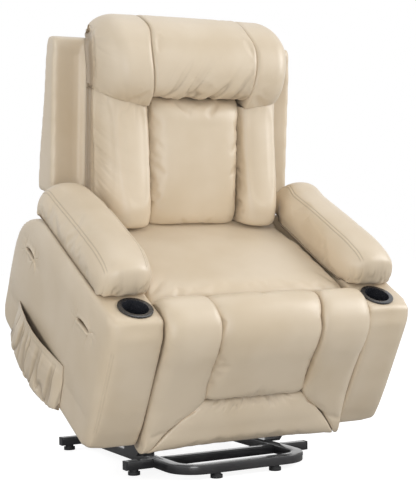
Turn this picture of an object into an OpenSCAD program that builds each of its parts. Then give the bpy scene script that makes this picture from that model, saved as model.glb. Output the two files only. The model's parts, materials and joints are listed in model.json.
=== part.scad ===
// Power lift recliner, drawn standing with its seat raised and tipped forward.
// The chair itself is drawn level in its own frame (y back, z up, floor at 0 when it is lowered)
// and lifted() carries it onto the lift linkage. The base is drawn where it stands.

/* [Overall] */
// Width over both arms
overall_w = 922; // [880:1:980]
// Forward tilt of the raised seat, degrees
lift_tilt = 28.3; // [26:0.1:30]
// Seat top above the floor when lowered
seat_top = 475; // [465:1:485]

/* [Arms] */
// Width of one arm
arm_w = 145; // [135:1:155]
// Height of the flat arm top
arm_top = 463; // [453:1:473]
// Thickness of the padded arm cover
arm_wall = 16; // [10:1:20]
// Radius of the upright front edge of an arm
arm_edge_r = 34; // [26:1:44]
// How far the padded front of an arm bows out
arm_bow = 18; // [8:1:24]
// Radius of the rounded back shoulder of an arm
arm_shoulder_r = 196; // [178:1:206]
// Thickness of the boards in the arm frame
arm_board = 18; // [12:1:22]
// Height of an armrest pad
pad_h = 114; // [100:1:125]

/* [Cup holders] */
// Inside radius of a cup holder
cup_r = 35; // [32:0.5:38]
// Wall of a cup holder
cup_wall = 2; // [1.5:0.5:4]
// Depth of a cup holder
cup_depth = 72; // [50:1:90]
// Radius of the cup holder rim
cup_rim_r = 47; // [44:0.5:50]

/* [Side pockets] */
// Length of a side pocket
pocket_len = 360; // [300:1:380]
// Height of a side pocket
pocket_h = 136; // [100:1:146]
// How far a pocket stands off the arm
pocket_depth = 28; // [24:1:32]
// Thickness of the pocket's cloth
pocket_wall = 3; // [2:0.5:4]

/* [Back] */
// Rake of the back, degrees from upright
back_rake = 23.1; // [21:0.1:25]
// Half width of the winged back
wing_half = 392; // [380:1:400]
// Height of the top of the wings
wing_top = 898; // [880:1:910]
// Wall of the back shell
back_wall = 14; // [8:1:18]
// Half width of the middle back panel
panel_half = 146; // [135:1:155]

/* [Footrest] */
// Half width of the middle footrest pad
foot_panel_half = 156; // [140:1:160]
// Thickness of the footrest board
foot_board = 15; // [12:1:18]
// Lowest edge of the footrest padding
foot_bottom = 52; // [46:1:62]

/* [Base] */
// Side of the square base tube
tube = 25; // [20:1:28]
// Wall of the base tube
tube_wall = 2; // [1.5:0.5:3]
// Height of a foot
foot_h = 15; // [10:1:18]
// Radius of a foot
foot_r = 17; // [13:1:20]
// Width of the flat tube that the base loop is bent from
loop_w = 33; // [28:1:38]
// Half width over the base rails
rail_half = 212; // [205:1:222]
// Half length of the cross tubes
cross_half = 291; // [285:1:300]
// Outside corner radius of the front loop
loop_r = 84; // [60:1:96]

/* [Linkage] */
// Thickness of the lift arms and links
link_t = 8; // [6:0.5:8]
// Radius of a pivot pin
pin_r = 8; // [6:0.5:9]
// Radius of the turning cross tubes
torque_r = 16; // [14:0.5:18]
// Length of the lift motor's crank
lift_crank = 130; // [125:1:135]
// Length of the footrest motor's crank
foot_crank = 60; // [55:1:65]
// Sideways place of each motor from the middle
motor_x = 72; // [66:1:80]

/* [Hidden] */
$fn = 48;

// Finishes
leather = "#dccdb0";
black_steel = "#1d1d1f";
zinc = "#9a9da0";
ply = "#c9a36b";
plastic = "#26272a";

// Clearances
slip = 0.05;      // running fit between a pin and its bore
soft_gap = 0.3;   // between a soft piece and what it lies on
loose = 6;        // play at the two pivots where a linkage loop is open
lap = 1;          // how far a cut runs past the face that it opens

// Where the chair stands on the base
stand_body = [-400, 50];
stand_floor = [-168.7, 95.8];

// Arms
arm_out = overall_w / 2;
arm_in = arm_out - arm_w;
arm_mid = arm_out - arm_w / 2;
arm_front = -425;
arm_low = 62;
arm_back_low = 47;
arm_back = 286;
shoulder_y = arm_back - 10 - arm_shoulder_r;
cup_y = arm_front + cup_rim_r + 17;
cup_x = 375 + arm_mid - 388.5;
pad_nose = cup_y + cup_r + 3;
pad_back = 166;

// Side plates and what lies beside them
frame_out = arm_in - soft_gap;
plate_t = 6;
plate_x = arm_in - 54;
lane_foot = plate_x + plate_t + 4;
foot_link_t = 6;
lane_lower = lane_foot + foot_link_t + 3;
lane_link = plate_x - 4 - link_t;
lane_lift = lane_link - 4 - link_t;
bracket_x = lane_lift - 2 - plate_t;
flange_z = 300;
frame_low = 304;
frame_h = 68;
frame_top = frame_low + frame_h;
frame_front = -322;
frame_back = 125;
board_t = 25;
spring_t = 4;

// Pivots: the base's in the standing frame, the others in the chair's own frame
base_rear_pivot = [9, 131];
base_front_pivot = [-51, 91];
chair_rear_pivot = [116.4, 201.8];
chair_front_pivot = [-165.6, 95.8];
foot_drive_pivot = [-130, 260];
foot_knee = [-256, 80];
foot_pivot = [-352, 300];
back_pivot = [165, 285];
lift_motor_pin = [369, 83];
foot_motor_pin = [172, 190];
lift_crank_angle = 120;
foot_crank_angle = 300;
crank_pin_r = 6;
eye_bore = crank_pin_r + loose;
eye_r = eye_bore + 5;

// Base
base_front = -247;
front_cross_y = -86;
rear_cross_y = 377;
base_top = foot_h + tube;
foot_inset = 25;
loop_foot_x = 93;

// Footrest
foot_front = -468;
foot_face = -385;
foot_half = arm_in - 3;
foot_board_half = foot_half - 31;
foot_board_top = 405;
foot_board_low = foot_bottom + 22;
chaise_back = -327.5;
panel_low = 211;

// Back
back_half = arm_in - 10;
lower_back_y = 222;
wing_low = 478;
shell_low = 335;
shell_depth_top = 60;
cushion_low = 457;
crease_z = 765;
lumbar_top = 782;

function polar(r, a) = r * [cos(a), sin(a)];
function angle_of(v) = atan2(v[1], v[0]);
function turn(p, a) = [p[0] * cos(a) - p[1] * sin(a), p[0] * sin(a) + p[1] * cos(a)];
function on_floor(p) = stand_floor + turn(p - stand_body, lift_tilt);
function arc(c, r, a0, a1, n = 8) = [for (i = [0:n]) c + polar(r, a0 + (a1 - a0) * i / n)];
function back_y(z) = lower_back_y + (max(z, wing_low) - wing_low) * tan(back_rake);
function inner_y(z) = back_y(z) + back_wall / cos(back_rake) + 1;

lift_crank_tip = base_rear_pivot + polar(lift_crank, lift_crank_angle);
foot_crank_tip = foot_drive_pivot + polar(foot_crank, foot_crank_angle);

// Carries the level chair to its raised place
module lifted() {
    translate([0, stand_floor[0], stand_floor[1]]) rotate([lift_tilt, 0, 0])
        translate([0, -stand_body[0], -stand_body[1]]) children();
}

// A side outline (y, z) drawn from x0 to x1
module side_slab(x0, x1) {
    translate([x0, 0, 0]) rotate([90, 0, 90]) linear_extrude(x1 - x0) children();
}

// A round bar along x at (y, z)
module bar_x(p, r, x0, x1) {
    translate([x0, p[0], p[1]]) rotate([0, 90, 0]) cylinder(r = r, h = x1 - x0);
}

// The same piece on both sides
module both() {
    children();
    mirror([1, 0, 0]) children();
}

// A flat link with round ends, and one bore at each end
module link_outline(a, b, r) {
    d = b - a;
    union() {
        translate(a) circle(r = r);
        translate(b) circle(r = r);
        translate(a) rotate(angle_of(d)) translate([0, -r]) square([norm(d), 2 * r]);
    }
}

module flat_link(a, b, r, x0, x1, bore_a, bore_b) {
    difference() {
        side_slab(x0, x1) link_outline(a, b, r);
        if (bore_a > 0) bar_x(a, bore_a, x0 - lap, x1 + lap);
        if (bore_b > 0) bar_x(b, bore_b, x0 - lap, x1 + lap);
    }
}

// Crown of a cushion across its width: 1 in the middle, edge[0] at t = -1 and edge[1] at t = 1
function crown(t, edge, p) = let (e = t < 0 ? edge[0] : edge[1])
    e + (1 - e) * pow(max(0, 1 - pow(abs(t), p)), 1 / p);

// A crowned pad between a resting line and a face line, both given front-bottom to back-top in
// (y, z). xa and xb hold its sides at each point, and its sides draw in by pull half way along.
module pad(rest, face, xa, xb, edge, p = 2.6, nx = 10, pull = 2) {
    n = len(rest);
    m = nx + 1;
    function across(j) = -cos(180 * j / nx);
    function side(i, j) = let (t = across(j), w = pull * sin(180 * i / (n - 1)))
        (xa[i] + w + xb[i] - w) / 2 + t * ((xb[i] - w) - (xa[i] + w)) / 2;
    upper = [for (i = [0:n - 1], j = [0:nx])
        let (q = rest[i] + (face[i] - rest[i]) * crown(across(j), edge, p)) [side(i, j), q[0], q[1]]];
    lower = [for (i = [0:n - 1], j = [0:nx]) [side(i, j), rest[i][0], rest[i][1]]];
    k = n * m;
    quads = concat(
        [for (i = [0:n - 2], j = [0:nx - 1])
            [i * m + j, (i + 1) * m + j, (i + 1) * m + j + 1, i * m + j + 1]],
        [for (i = [0:n - 2], j = [0:nx - 1])
            [k + i * m + j, k + i * m + j + 1, k + (i + 1) * m + j + 1, k + (i + 1) * m + j]],
        [for (i = [0:n - 2]) [(i + 1) * m, i * m, k + i * m, k + (i + 1) * m]],
        [for (i = [0:n - 2]) [i * m + nx, (i + 1) * m + nx, k + (i + 1) * m + nx, k + i * m + nx]],
        [for (j = [0:nx - 1]) [j, j + 1, k + j + 1, k + j]],
        [for (j = [0:nx - 1]) let (e = (n - 1) * m) [e + j + 1, e + j, k + e + j, k + e + j + 1]]);
    polyhedron(points = concat(upper, lower),
        faces = [for (q = quads, h = [0, 1]) h == 0 ? [q[0], q[1], q[2]] : [q[0], q[2], q[3]]]);
}

function same(v, n) = [for (i = [0:n - 1]) v];

/* Base */

module loop_plan(inset) {
    hw = rail_half - inset;
    y0 = base_front + inset;
    r = loop_r - inset;
    polygon(concat(
        [[hw, rear_cross_y]], [[-hw, rear_cross_y]],
        arc([-hw + r, y0 + r], r, 180, 270), arc([hw - r, y0 + r], r, 270, 360)));
}

module loop_bar(inset, z0, z1) {
    translate([0, 0, z0]) linear_extrude(z1 - z0) difference() {
        loop_plan(inset);
        loop_plan(loop_w - inset);
    }
}

module base_loop_rails() {
    color(black_steel) difference() {
        loop_bar(0, foot_h, base_top);
        loop_bar(tube_wall, foot_h + tube_wall, base_top - tube_wall);
    }
}

module square_tube(x0, x1, y) {
    difference() {
        translate([x0, y, foot_h]) cube([x1 - x0, tube, tube]);
        translate([x0 - lap, y + tube_wall, foot_h + tube_wall])
            cube([x1 - x0 + 2 * lap, tube - 2 * tube_wall, tube - 2 * tube_wall]);
    }
}

module base_front_cross() {
    color(black_steel) {
        both() square_tube(rail_half, cross_half, front_cross_y);
        square_tube(-rail_half + loop_w, rail_half - loop_w, front_cross_y);
    }
}

module base_rear_cross() {
    color(black_steel) square_tube(-cross_half, cross_half, rear_cross_y);
}

module base_tube_caps() {
    cap = 4;
    color(plastic) both() for (y = [front_cross_y, rear_cross_y])
        translate([cross_half, y, foot_h]) cube([cap, tube, tube]);
}

module base_feet() {
    module foot(x, y) {
        translate([x, y, 0]) {
            cylinder(r = foot_r, h = foot_h * 0.6);
            cylinder(r = foot_r * 0.72, h = foot_h);
        }
    }
    color(plastic) both() {
        foot(cross_half - foot_inset, front_cross_y + tube / 2);
        foot(cross_half - foot_inset, rear_cross_y + tube / 2);
        foot(loop_foot_x, base_front + loop_w / 2);
    }
}

// A bent plate on each rail: a foot flange and an upright web with both lift pivots
module base_lift_brackets() {
    web_r = 24;
    flange_y = base_front_pivot[0] + 26;
    front_r = web_r - 4;
    color(black_steel) both() difference() {
        union() {
            side_slab(bracket_x, bracket_x + plate_t) union() {
                translate(base_rear_pivot) circle(r = web_r);
                translate(base_front_pivot) circle(r = front_r);
                polygon([[flange_y, base_top],
                    base_front_pivot + [-front_r * 0.9, -front_r * 0.4],
                    [base_front_pivot[0] - front_r, base_front_pivot[1]],
                    [base_rear_pivot[0] - web_r * 0.7, base_rear_pivot[1] + web_r * 0.7],
                    [base_rear_pivot[0] + web_r, base_rear_pivot[1]],
                    [base_rear_pivot[0] + 2 * web_r, base_top]]);
            }
            translate([rail_half - loop_w, flange_y, base_top])
                cube([bracket_x + plate_t - rail_half + loop_w,
                    base_rear_pivot[0] + 2 * web_r - flange_y, plate_t]);
        }
        bar_x(base_rear_pivot, torque_r + slip, bracket_x - lap, bracket_x + plate_t + lap);
        bar_x(base_front_pivot, pin_r, bracket_x - lap, bracket_x + plate_t + lap);
    }
}

// A shouldered pin along x: head, shank and a retaining washer
module pivot_pin(p, r, x0, x1) {
    head = 3;
    bar_x(p, r, x0, x1);
    bar_x(p, r * 1.5, x0 - head, x0);
}

module base_pivot_pins() {
    color(zinc) both() pivot_pin(base_front_pivot, pin_r, bracket_x, lane_link + link_t + 2);
}

// Two ears on the rear cross tube, and the pin that carries the lift motor
module base_motor_bracket() {
    ear = 5;
    gap = 12;
    color(black_steel) {
        difference() {
            for (s = [-1, 1])
                translate([-motor_x + s * (gap + ear / 2) - ear / 2, 0, 0]) side_slab(0, ear)
                    union() {
                        translate(lift_motor_pin) circle(r = 15);
                        polygon([[rear_cross_y, foot_h + 2], [rear_cross_y, base_top],
                            [rear_cross_y + tube, base_top], [rear_cross_y + tube, base_top + ear],
                            lift_motor_pin + [14, 5], lift_motor_pin + [-14, -5]]);
                    }
            bar_x(lift_motor_pin, crank_pin_r, -motor_x - 2 * gap - ear, -motor_x + 2 * gap + ear);
        }
        bar_x(lift_motor_pin, crank_pin_r, -motor_x - gap - ear - 3, -motor_x + gap + ear + 3);
    }
}

/* Lift linkage */

module lift_torque_tube() {
    wall = 3;
    color(black_steel) difference() {
        bar_x(base_rear_pivot, torque_r, -lane_lift, lane_lift);
        bar_x(base_rear_pivot, torque_r - wall, -lane_lift - lap, lane_lift + lap);
    }
}

module lift_arms() {
    color(black_steel) both() flat_link(base_rear_pivot, on_floor(chair_rear_pivot), 18,
        lane_lift, lane_lift + link_t, 0, pin_r + slip);
}

// Two plates on the turning tube, and the pin that the lift motor pushes
module lift_crank_plates() {
    ear = 5;
    gap = 12;
    color(black_steel) {
        for (s = [-1, 1]) translate([-motor_x + s * (gap + ear / 2) - ear / 2, 0, 0]) difference() {
            side_slab(0, ear) union() {
                link_outline(base_rear_pivot + polar(torque_r + 2, lift_crank_angle),
                    lift_crank_tip, 14);
                translate(base_rear_pivot) circle(r = torque_r + 8);
            }
            bar_x(base_rear_pivot, torque_r, -lap, ear + lap);
            bar_x(lift_crank_tip, crank_pin_r, -lap, ear + lap);
        }
        bar_x(lift_crank_tip, crank_pin_r, -motor_x - gap - ear - 3, -motor_x + gap + ear + 3);
    }
}

module front_lift_links() {
    color(black_steel) both() flat_link(base_front_pivot, on_floor(chair_front_pivot), 14,
        lane_link, lane_link + link_t, pin_r + slip, crank_pin_r + 2);
}

/* Carriage: side plates, cross tubes and pins */

module side_plate() {
    drop_r = 17;
    color(black_steel) difference() {
        union() {
            side_slab(plate_x, plate_x + plate_t) union() {
                polygon([[frame_front + 4, 262], [foot_drive_pivot[0] - 60, 262],
                    [foot_drive_pivot[0] - 30, 235], [back_pivot[0] - 30, 235],
                    rear_tube + [-12, -18], rear_tube + [17, -18], back_pivot + [24, 15], [frame_front + 4, flange_z]]);
                translate(back_pivot) circle(r = 24);
                link_outline(chair_rear_pivot, chair_rear_pivot + [0, 30], 22);
                link_outline(chair_front_pivot, [chair_front_pivot[0], flange_z - drop_r], drop_r);
            }
            translate([plate_x, frame_front + 4, flange_z])
                cube([frame_out - plate_x, frame_back - frame_front - 4, frame_low - flange_z]);
        }
        bar_x(foot_drive_pivot, torque_r - 3 + slip, plate_x - lap, plate_x + plate_t + lap);
        for (p = [chair_rear_pivot, back_pivot])
            bar_x(p, pin_r, plate_x - lap, plate_x + plate_t + lap);
        bar_x(chair_front_pivot, crank_pin_r, plate_x - lap, plate_x + plate_t + lap);
    }
}

module right_side_plate() { lifted() mirror([1, 0, 0]) side_plate(); }
module left_side_plate() { lifted() side_plate(); }

front_tube = [-300, 280];
rear_tube = foot_motor_pin + [0, 50];

module carriage_cross_tubes() {
    r = 12;
    wall = 2;
    color(black_steel) lifted() for (p = [front_tube, rear_tube]) difference() {
        bar_x(p, r, -plate_x, plate_x);
        bar_x(p, r - wall, -plate_x - lap, plate_x + lap);
    }
}

module carriage_pivot_pins() {
    color(zinc) lifted() both() {
        mirror([1, 0, 0]) pivot_pin(chair_rear_pivot, pin_r, -plate_x - plate_t, -lane_lift + 2);
        mirror([1, 0, 0]) pivot_pin(chair_front_pivot, crank_pin_r, -plate_x - plate_t,
            -lane_link + 2);
        pivot_pin(back_pivot, pin_r, plate_x, lane_foot + foot_link_t + 2);
    }
}

module footrest_motor_bracket() {
    ear = 5;
    gap = 12;
    color(black_steel) lifted() {
        for (s = [-1, 1]) translate([motor_x + s * (gap + ear / 2) - ear / 2, 0, 0]) difference() {
            side_slab(0, ear) link_outline(rear_tube, foot_motor_pin, 17);
            bar_x(rear_tube, 12, -lap, ear + lap);
            bar_x(foot_motor_pin, crank_pin_r, -lap, ear + lap);
        }
        bar_x(foot_motor_pin, crank_pin_r, motor_x - gap - ear - 3, motor_x + gap + ear + 3);
    }
}

/* Seat */

module seat_frame() {
    side_len = frame_back - frame_front - 2 * board_t;
    color(ply) lifted() {
        both() translate([frame_out - board_t, frame_front + board_t, frame_low])
            cube([board_t, side_len, frame_h]);
        for (y = [frame_front, frame_back - board_t])
            translate([-frame_out, y, frame_low]) cube([2 * frame_out, board_t, frame_h]);
    }
}

// Flat zigzag spring wires from the front rail to the back rail
module seat_springs() {
    count = 5;
    turns = 12;
    swing = 22;
    wire = 4;
    y0 = frame_front + board_t / 2;
    step = (frame_back - frame_front - board_t) / turns;
    color(zinc) lifted() for (k = [0:count - 1])
        translate([(k - (count - 1) / 2) * 2 * (frame_out - board_t) / (count + 0.3), 0, frame_top])
            linear_extrude(spring_t) union() {
                for (i = [0:turns]) translate([-swing, y0 + i * step - wire / 2])
                    square([2 * swing, wire]);
                for (i = [0:turns - 1])
                    translate([(i % 2 == 0 ? swing - wire : -swing), y0 + i * step])
                        square([wire, step]);
            }
}

seat_low = frame_top + spring_t + soft_gap;

module seat_cushion() {
    ends = [0.55, 0.86, 0.96, 1, 1, 0.97, 0.86, 0.79, 0.76, 0.5];
    n = len(ends);
    y0 = chaise_back + 4;
    y1 = 138;
    rest = [for (i = [0:n - 1]) [y0 + (y1 - y0) * (1 - cos(180 * i / (n - 1))) / 2, seat_low]];
    face = [for (i = [0:n - 1]) rest[i] + [0, (seat_top - seat_low) * ends[i]]];
    color(leather) lifted() pad(rest, face, same(-foot_half, n), same(foot_half, n),
        edge = [0.68, 0.68], p = 3, nx = 14, pull = 3);
}

// Leather face of the seat's front rail
module seat_apron() {
    apron_t = 3;
    color(leather) lifted() translate([-frame_out, frame_front - apron_t, frame_low])
        cube([2 * frame_out, apron_t, frame_h]);
}

/* Arms */

// Side outline of an arm, drawn in by inset
module arm_outline(inset) {
    front = arm_front + inset;
    top = arm_top - inset;
    back = arm_back - inset;
    r_top = 20 - min(inset, 12);
    r_low = 24 - min(inset, 18);
    r_back = arm_shoulder_r - inset;
    z0 = arm_low + r_low;
    z1 = top - r_top;
    bow = [for (q = [[0.12, 0.5], [0.3, 0.85], [0.55, 1], [0.78, 0.96], [0.93, 0.66]])
        [front - arm_bow * q[1], z0 + (z1 - z0) * q[0]]];
    polygon(concat(
        arc([front + r_low, z0], r_low, 270, 180, 4), bow,
        arc([front + r_top, z1], r_top, 180, 90, 5),
        arc([shoulder_y, arm_top - arm_shoulder_r], r_back, 90, 0, 12),
        [[back - 2, arm_back_low + 56], [back - 12, arm_back_low + 22], [back - 30, arm_back_low + 5],
            [back - 66, arm_back_low]]));
}

// Plan outline of an arm: one soft upright edge at the front
module arm_plan(inset) {
    x0 = arm_in + inset;
    x1 = arm_out - inset;
    y0 = arm_front - arm_bow + inset;
    y1 = arm_back + 10 - inset;
    r_out = arm_edge_r - inset;
    r_in = 14 - min(inset, 10);
    r_back = 26 - inset;
    polygon(concat(
        arc([x0 + r_in, y0 + r_in], r_in, 180, 270, 4),
        arc([x1 - r_out, y0 + r_out], r_out, 270, 360, 8),
        arc([x1 - r_back, y1 - r_back], r_back, 0, 90, 6),
        [[x0, y1]]));
}

module arm_body(inset) {
    intersection() {
        side_slab(arm_in + inset, arm_out - inset) arm_outline(inset);
        linear_extrude(arm_top) arm_plan(inset);
    }
}

module cup_cut(extra) {
    translate([cup_x, cup_y, arm_top - cup_depth - 2 * cup_wall - extra])
        cylinder(r = cup_r + cup_wall + extra, h = cup_depth + 4 * cup_wall + extra + lap);
}

module arm_cover() {
    color(leather) difference() {
        arm_body(0);
        arm_body(arm_wall);
        translate([arm_in + arm_wall, arm_front + arm_wall + 20, arm_back_low - lap])
            cube([arm_w - 2 * arm_wall, arm_back - arm_front - 2 * arm_wall - 60,
                arm_low + arm_wall - arm_back_low + 20]);
        cup_cut(soft_gap);
    }
}

// A ply box inside the cover: two sides, a top board and a bottom rail
module arm_frame() {
    x0 = arm_in + arm_wall + soft_gap;
    x1 = arm_out - arm_wall - soft_gap;
    y0 = arm_front + arm_wall + 24;
    y1 = shoulder_y;
    top = arm_top - arm_wall - soft_gap;
    low = arm_low + 14;
    color(ply) difference() {
        union() {
            for (x = [x0, x1 - arm_board])
                translate([x, y0, low]) cube([arm_board, y1 - y0, top - low - arm_board]);
            translate([x0, y0, top - arm_board]) cube([x1 - x0, y1 - y0, arm_board]);
            for (y = [y0, y1 - arm_board])
                translate([x0 + arm_board, y, low]) cube([x1 - x0 - 2 * arm_board, arm_board, 80]);
        }
        cup_cut(soft_gap);
    }
}

module right_arm_frame() { lifted() mirror([1, 0, 0]) arm_frame(); }
module left_arm_frame() { lifted() arm_frame(); }
module right_arm_cover() { lifted() mirror([1, 0, 0]) arm_cover(); }
module left_arm_cover() { lifted() arm_cover(); }

module armrest_pad() {
    z0 = arm_top + soft_gap;
    h = pad_h + 4;
    nose = pad_nose;
    back = pad_back;
    rest = [[nose + 56, z0], [nose + 54, z0 + 2], [nose + 52, z0 + 4], [nose + 52, z0 + 6],
        [nose + 56, z0 + 5], [nose + 70, z0 + 3], [nose + 110, z0], [nose + 200, z0],
        [nose + 320, z0], [nose + 376, z0], [back - 60, z0], [back - 22, z0], [back - 18, z0]];
    face = [[nose + 20, z0 + 3], [nose + 4, z0 + 20], [nose, z0 + 46], [nose + 2, z0 + 72],
        [nose + 12, z0 + 98], [nose + 34, z0 + h - 6], [nose + 74, z0 + h], [nose + 190, z0 + h],
        [nose + 320, z0 + h - 3], [nose + 376, z0 + h - 5], [back - 50, z0 + h - 9], [back - 12, z0 + h - 26],
        [back, z0 + h * 0.42]];
    n = len(rest);
    hang = [0, 0, 2, 5, 9, 14, 21, 26, 26, 26, 8.5];
    xa = [for (i = [0:n - 1]) arm_in - hang[min(i, len(hang) - 1)]];
    xb = [for (i = [0:n - 1]) arm_out - (i < 4 ? 8 - i : 4)];
    color(leather) pad(rest, face, xa, xb, edge = [0.62, 0.5], p = 2.2, nx = 12, pull = 1);
}

module right_armrest_pad() { lifted() mirror([1, 0, 0]) armrest_pad(); }
module left_armrest_pad() { lifted() armrest_pad(); }

module cup_holder() {
    rim = 4;
    color(plastic) translate([cup_x, cup_y, 0]) difference() {
        union() {
            translate([0, 0, arm_top]) cylinder(r = cup_rim_r, h = rim);
            translate([0, 0, arm_top - cup_depth - cup_wall])
                cylinder(r = cup_r + cup_wall, h = cup_depth + cup_wall + rim);
        }
        translate([0, 0, arm_top - cup_depth]) cylinder(r = cup_r, h = cup_depth + rim + lap);
    }
}

module right_cup_holder() { lifted() mirror([1, 0, 0]) cup_holder(); }
module left_cup_holder() { lifted() cup_holder(); }

pocket_front = -206;
pocket_low = 40;

// An open-topped pouch on the outside of an arm
module pocket() {
    x0 = arm_out + soft_gap;
    w = pocket_wall;
    color(leather) difference() {
        translate([x0, pocket_front, pocket_low]) cube([pocket_depth, pocket_len, pocket_h]);
        translate([x0 - lap, pocket_front + w, pocket_low + w])
            cube([pocket_depth + lap - w, pocket_len - 2 * w, pocket_h + lap]);
    }
}

module right_pocket() { lifted() mirror([1, 0, 0]) pocket(); }
module left_pocket() { lifted() pocket(); }

/* Controls */

handset_w = 52;
handset_t = 16;
handset_l = 168;
handset_y = -20;
handset_x = arm_out + soft_gap;
handset_z = pocket_low + pocket_wall;
button_r = 11;
button_travel = 1.5;
button_proud = 2;
button_wall = 3;
up_z = handset_z + handset_l - 24;
down_z = up_z - 30;

module handset() {
    r = 12;
    mid = handset_y + handset_w / 2;
    color(plastic) lifted() difference() {
        side_slab(handset_x, handset_x + handset_t) polygon(concat(
            arc([handset_y + r, handset_z + r], r, 180, 270),
            arc([handset_y + handset_w - r, handset_z + r], r, 270, 360),
            arc([handset_y + handset_w - r, handset_z + handset_l - r], r, 0, 90),
            arc([handset_y + r, handset_z + handset_l - r], r, 90, 180)));
        for (z = [up_z, down_z]) {
            depth = 6;
            bar_x([mid, z], button_r + slip, handset_x + handset_t - depth,
                handset_x + handset_t + lap);
        }
    }
}

module button(z) {
    well = 6;
    lifted() bar_x([handset_y + handset_w / 2, z], button_r,
        handset_x + handset_t - well + button_travel + 0.5, handset_x + handset_t + button_proud);
}

module up_button() { color("silver") button(up_z); }
module down_button() { color("silver") button(down_z); }

// Power and control box on the inside of the left side plate, with its inlet on the back
module control_box() {
    size = [64, 130, 44];
    low = 248;
    back = 62;
    color(plastic) lifted() difference() {
        translate([plate_x - size[0], back - size[1], low]) cube(size);
        translate([plate_x - size[0] / 2 - 9, back - 12, low + 14]) cube([18, 12 + lap, 16]);
    }
}

/* Footrest */

module footrest_drive_tube() {
    r = torque_r - 3;
    wall = 3;
    ear = 5;
    gap = 12;
    color(black_steel) lifted() {
        difference() {
            bar_x(foot_drive_pivot, r, -lane_foot, lane_foot);
            bar_x(foot_drive_pivot, r - wall, -lane_foot - lap, lane_foot + lap);
        }
        for (s = [-1, 1]) translate([motor_x + s * (gap + ear / 2) - ear / 2, 0, 0]) difference() {
            side_slab(0, ear) link_outline(foot_drive_pivot, foot_crank_tip, 16);
            bar_x(foot_drive_pivot, r - wall / 2, -lap, ear + lap);
            bar_x(foot_crank_tip, crank_pin_r, -lap, ear + lap);
        }
        bar_x(foot_crank_tip, crank_pin_r, motor_x - gap - ear - 3, motor_x + gap + ear + 3);
    }
}

module footrest_drive_links() {
    color(black_steel) lifted() both() {
        flat_link(foot_drive_pivot, foot_knee, 15, lane_foot, lane_foot + foot_link_t, 0, 0);
        bar_x(foot_knee, crank_pin_r, lane_foot + foot_link_t, lane_lower + foot_link_t + 3);
    }
}

module footrest_lower_links() {
    color(black_steel) lifted() both() flat_link(foot_knee, foot_pivot, 12, lane_lower,
        lane_lower + foot_link_t, crank_pin_r + slip, crank_pin_r + slip);
}

module footrest_board() {
    color(ply) lifted() translate([-foot_board_half, foot_face, foot_board_low])
        cube([2 * foot_board_half, foot_board, foot_board_top - foot_board_low]);
}

// Steel brackets on the back of the board, each with its pin
module footrest_brackets() {
    back = foot_face + foot_board;
    reach = foot_pivot[0] - back;
    x0 = lane_lower - 3 - foot_link_t;
    color(black_steel) lifted() both() {
        translate([x0 - 30, back, foot_pivot[1] - 60]) cube([30 + foot_link_t - 2, 4, 120]);
        side_slab(x0, x0 + foot_link_t - 2) union() {
            translate(foot_pivot) circle(r = 12);
            translate([back, foot_pivot[1] - 12]) square([reach, 24]);
        }
        bar_x(foot_pivot, crank_pin_r, x0 + foot_link_t - 2, lane_lower + foot_link_t + 2);
    }
}

// Resting line and face line of the footrest padding, from its bottom edge up and over the top.
// deep is how much the face stands proud of the common line.
function foot_rest_line() = let (f = foot_face - soft_gap)
    [[f, foot_bottom + 12], [f, foot_bottom + 22], [f, 130], [f, panel_low], [f, 262], [f, 316],
    [f, 366], [f, foot_board_top + soft_gap], [f + 10, foot_board_top + 1],
    [f + 22, foot_board_top + 6], [f + 40, foot_board_top + 13],
    [chaise_back, foot_board_top + 13]];
function foot_face_line(deep) = let (f = foot_front - deep)
    [[f + 40, foot_bottom], [f + 22, foot_bottom + 9], [f + 17, 132], [f + 17, panel_low],
    [f + 15, 268], [f + 10, 326], [f + 4, 380], [f + 8, 424], [f + 26, 462], [f + 58, 487 + deep],
    [f + 98, 494 + deep], [chaise_back, 474 + deep / 2]];

// The part of a list from index a to b
function part(v, a, b) = [for (i = [a:b]) v[i]];

module footrest_middle_pad() {
    rest = part(foot_rest_line(), 3, 11);
    face = part(foot_face_line(4), 3, 11);
    n = len(rest);
    color(leather) lifted() pad(rest, face, same(-foot_panel_half, n), same(foot_panel_half, n),
        edge = [0.76, 0.76], p = 2.8, nx = 12, pull = 1);
}

module footrest_bolster() {
    rest = foot_rest_line();
    face = foot_face_line(0);
    n = len(rest);
    seam = foot_panel_half + 0.6;
    corner = foot_half - 9;
    xa = [for (i = [0:n - 1]) i >= 3 ? seam
        : seam + (corner - seam) * (panel_low - rest[i][1]) / (panel_low - rest[0][1])];
    color(leather) pad(rest, face, xa, same(foot_half, n), edge = [0.8, 0.68], p = 2.4, nx = 8,
        pull = 1);
}

module footrest_right_bolster() { lifted() mirror([1, 0, 0]) footrest_bolster(); }
module footrest_left_bolster() { lifted() footrest_bolster(); }

module footrest_lower_band() {
    rest = concat(part(foot_rest_line(), 0, 2), [[foot_face - soft_gap, panel_low - 1]]);
    face = concat(part(foot_face_line(0), 0, 2), [[foot_front + 30, panel_low - 3]]);
    n = len(rest);
    seam = foot_panel_half;
    corner = foot_half - 9.6;
    xb = [for (i = [0:n - 1]) i == n - 1 ? seam
        : seam + (corner - seam) * (panel_low - rest[i][1]) / (panel_low - rest[0][1])];
    color(leather) lifted() pad(rest, face, -xb, xb, edge = [0.9, 0.9], p = 3, nx = 12, pull = 0);
}

/* Back */

shell_top = [[back_y(wing_top), wing_top], [back_y(wing_top) + shell_depth_top - 4, wing_top - 12]];
shell_rear = [[353, 562], [318, 470]];

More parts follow.
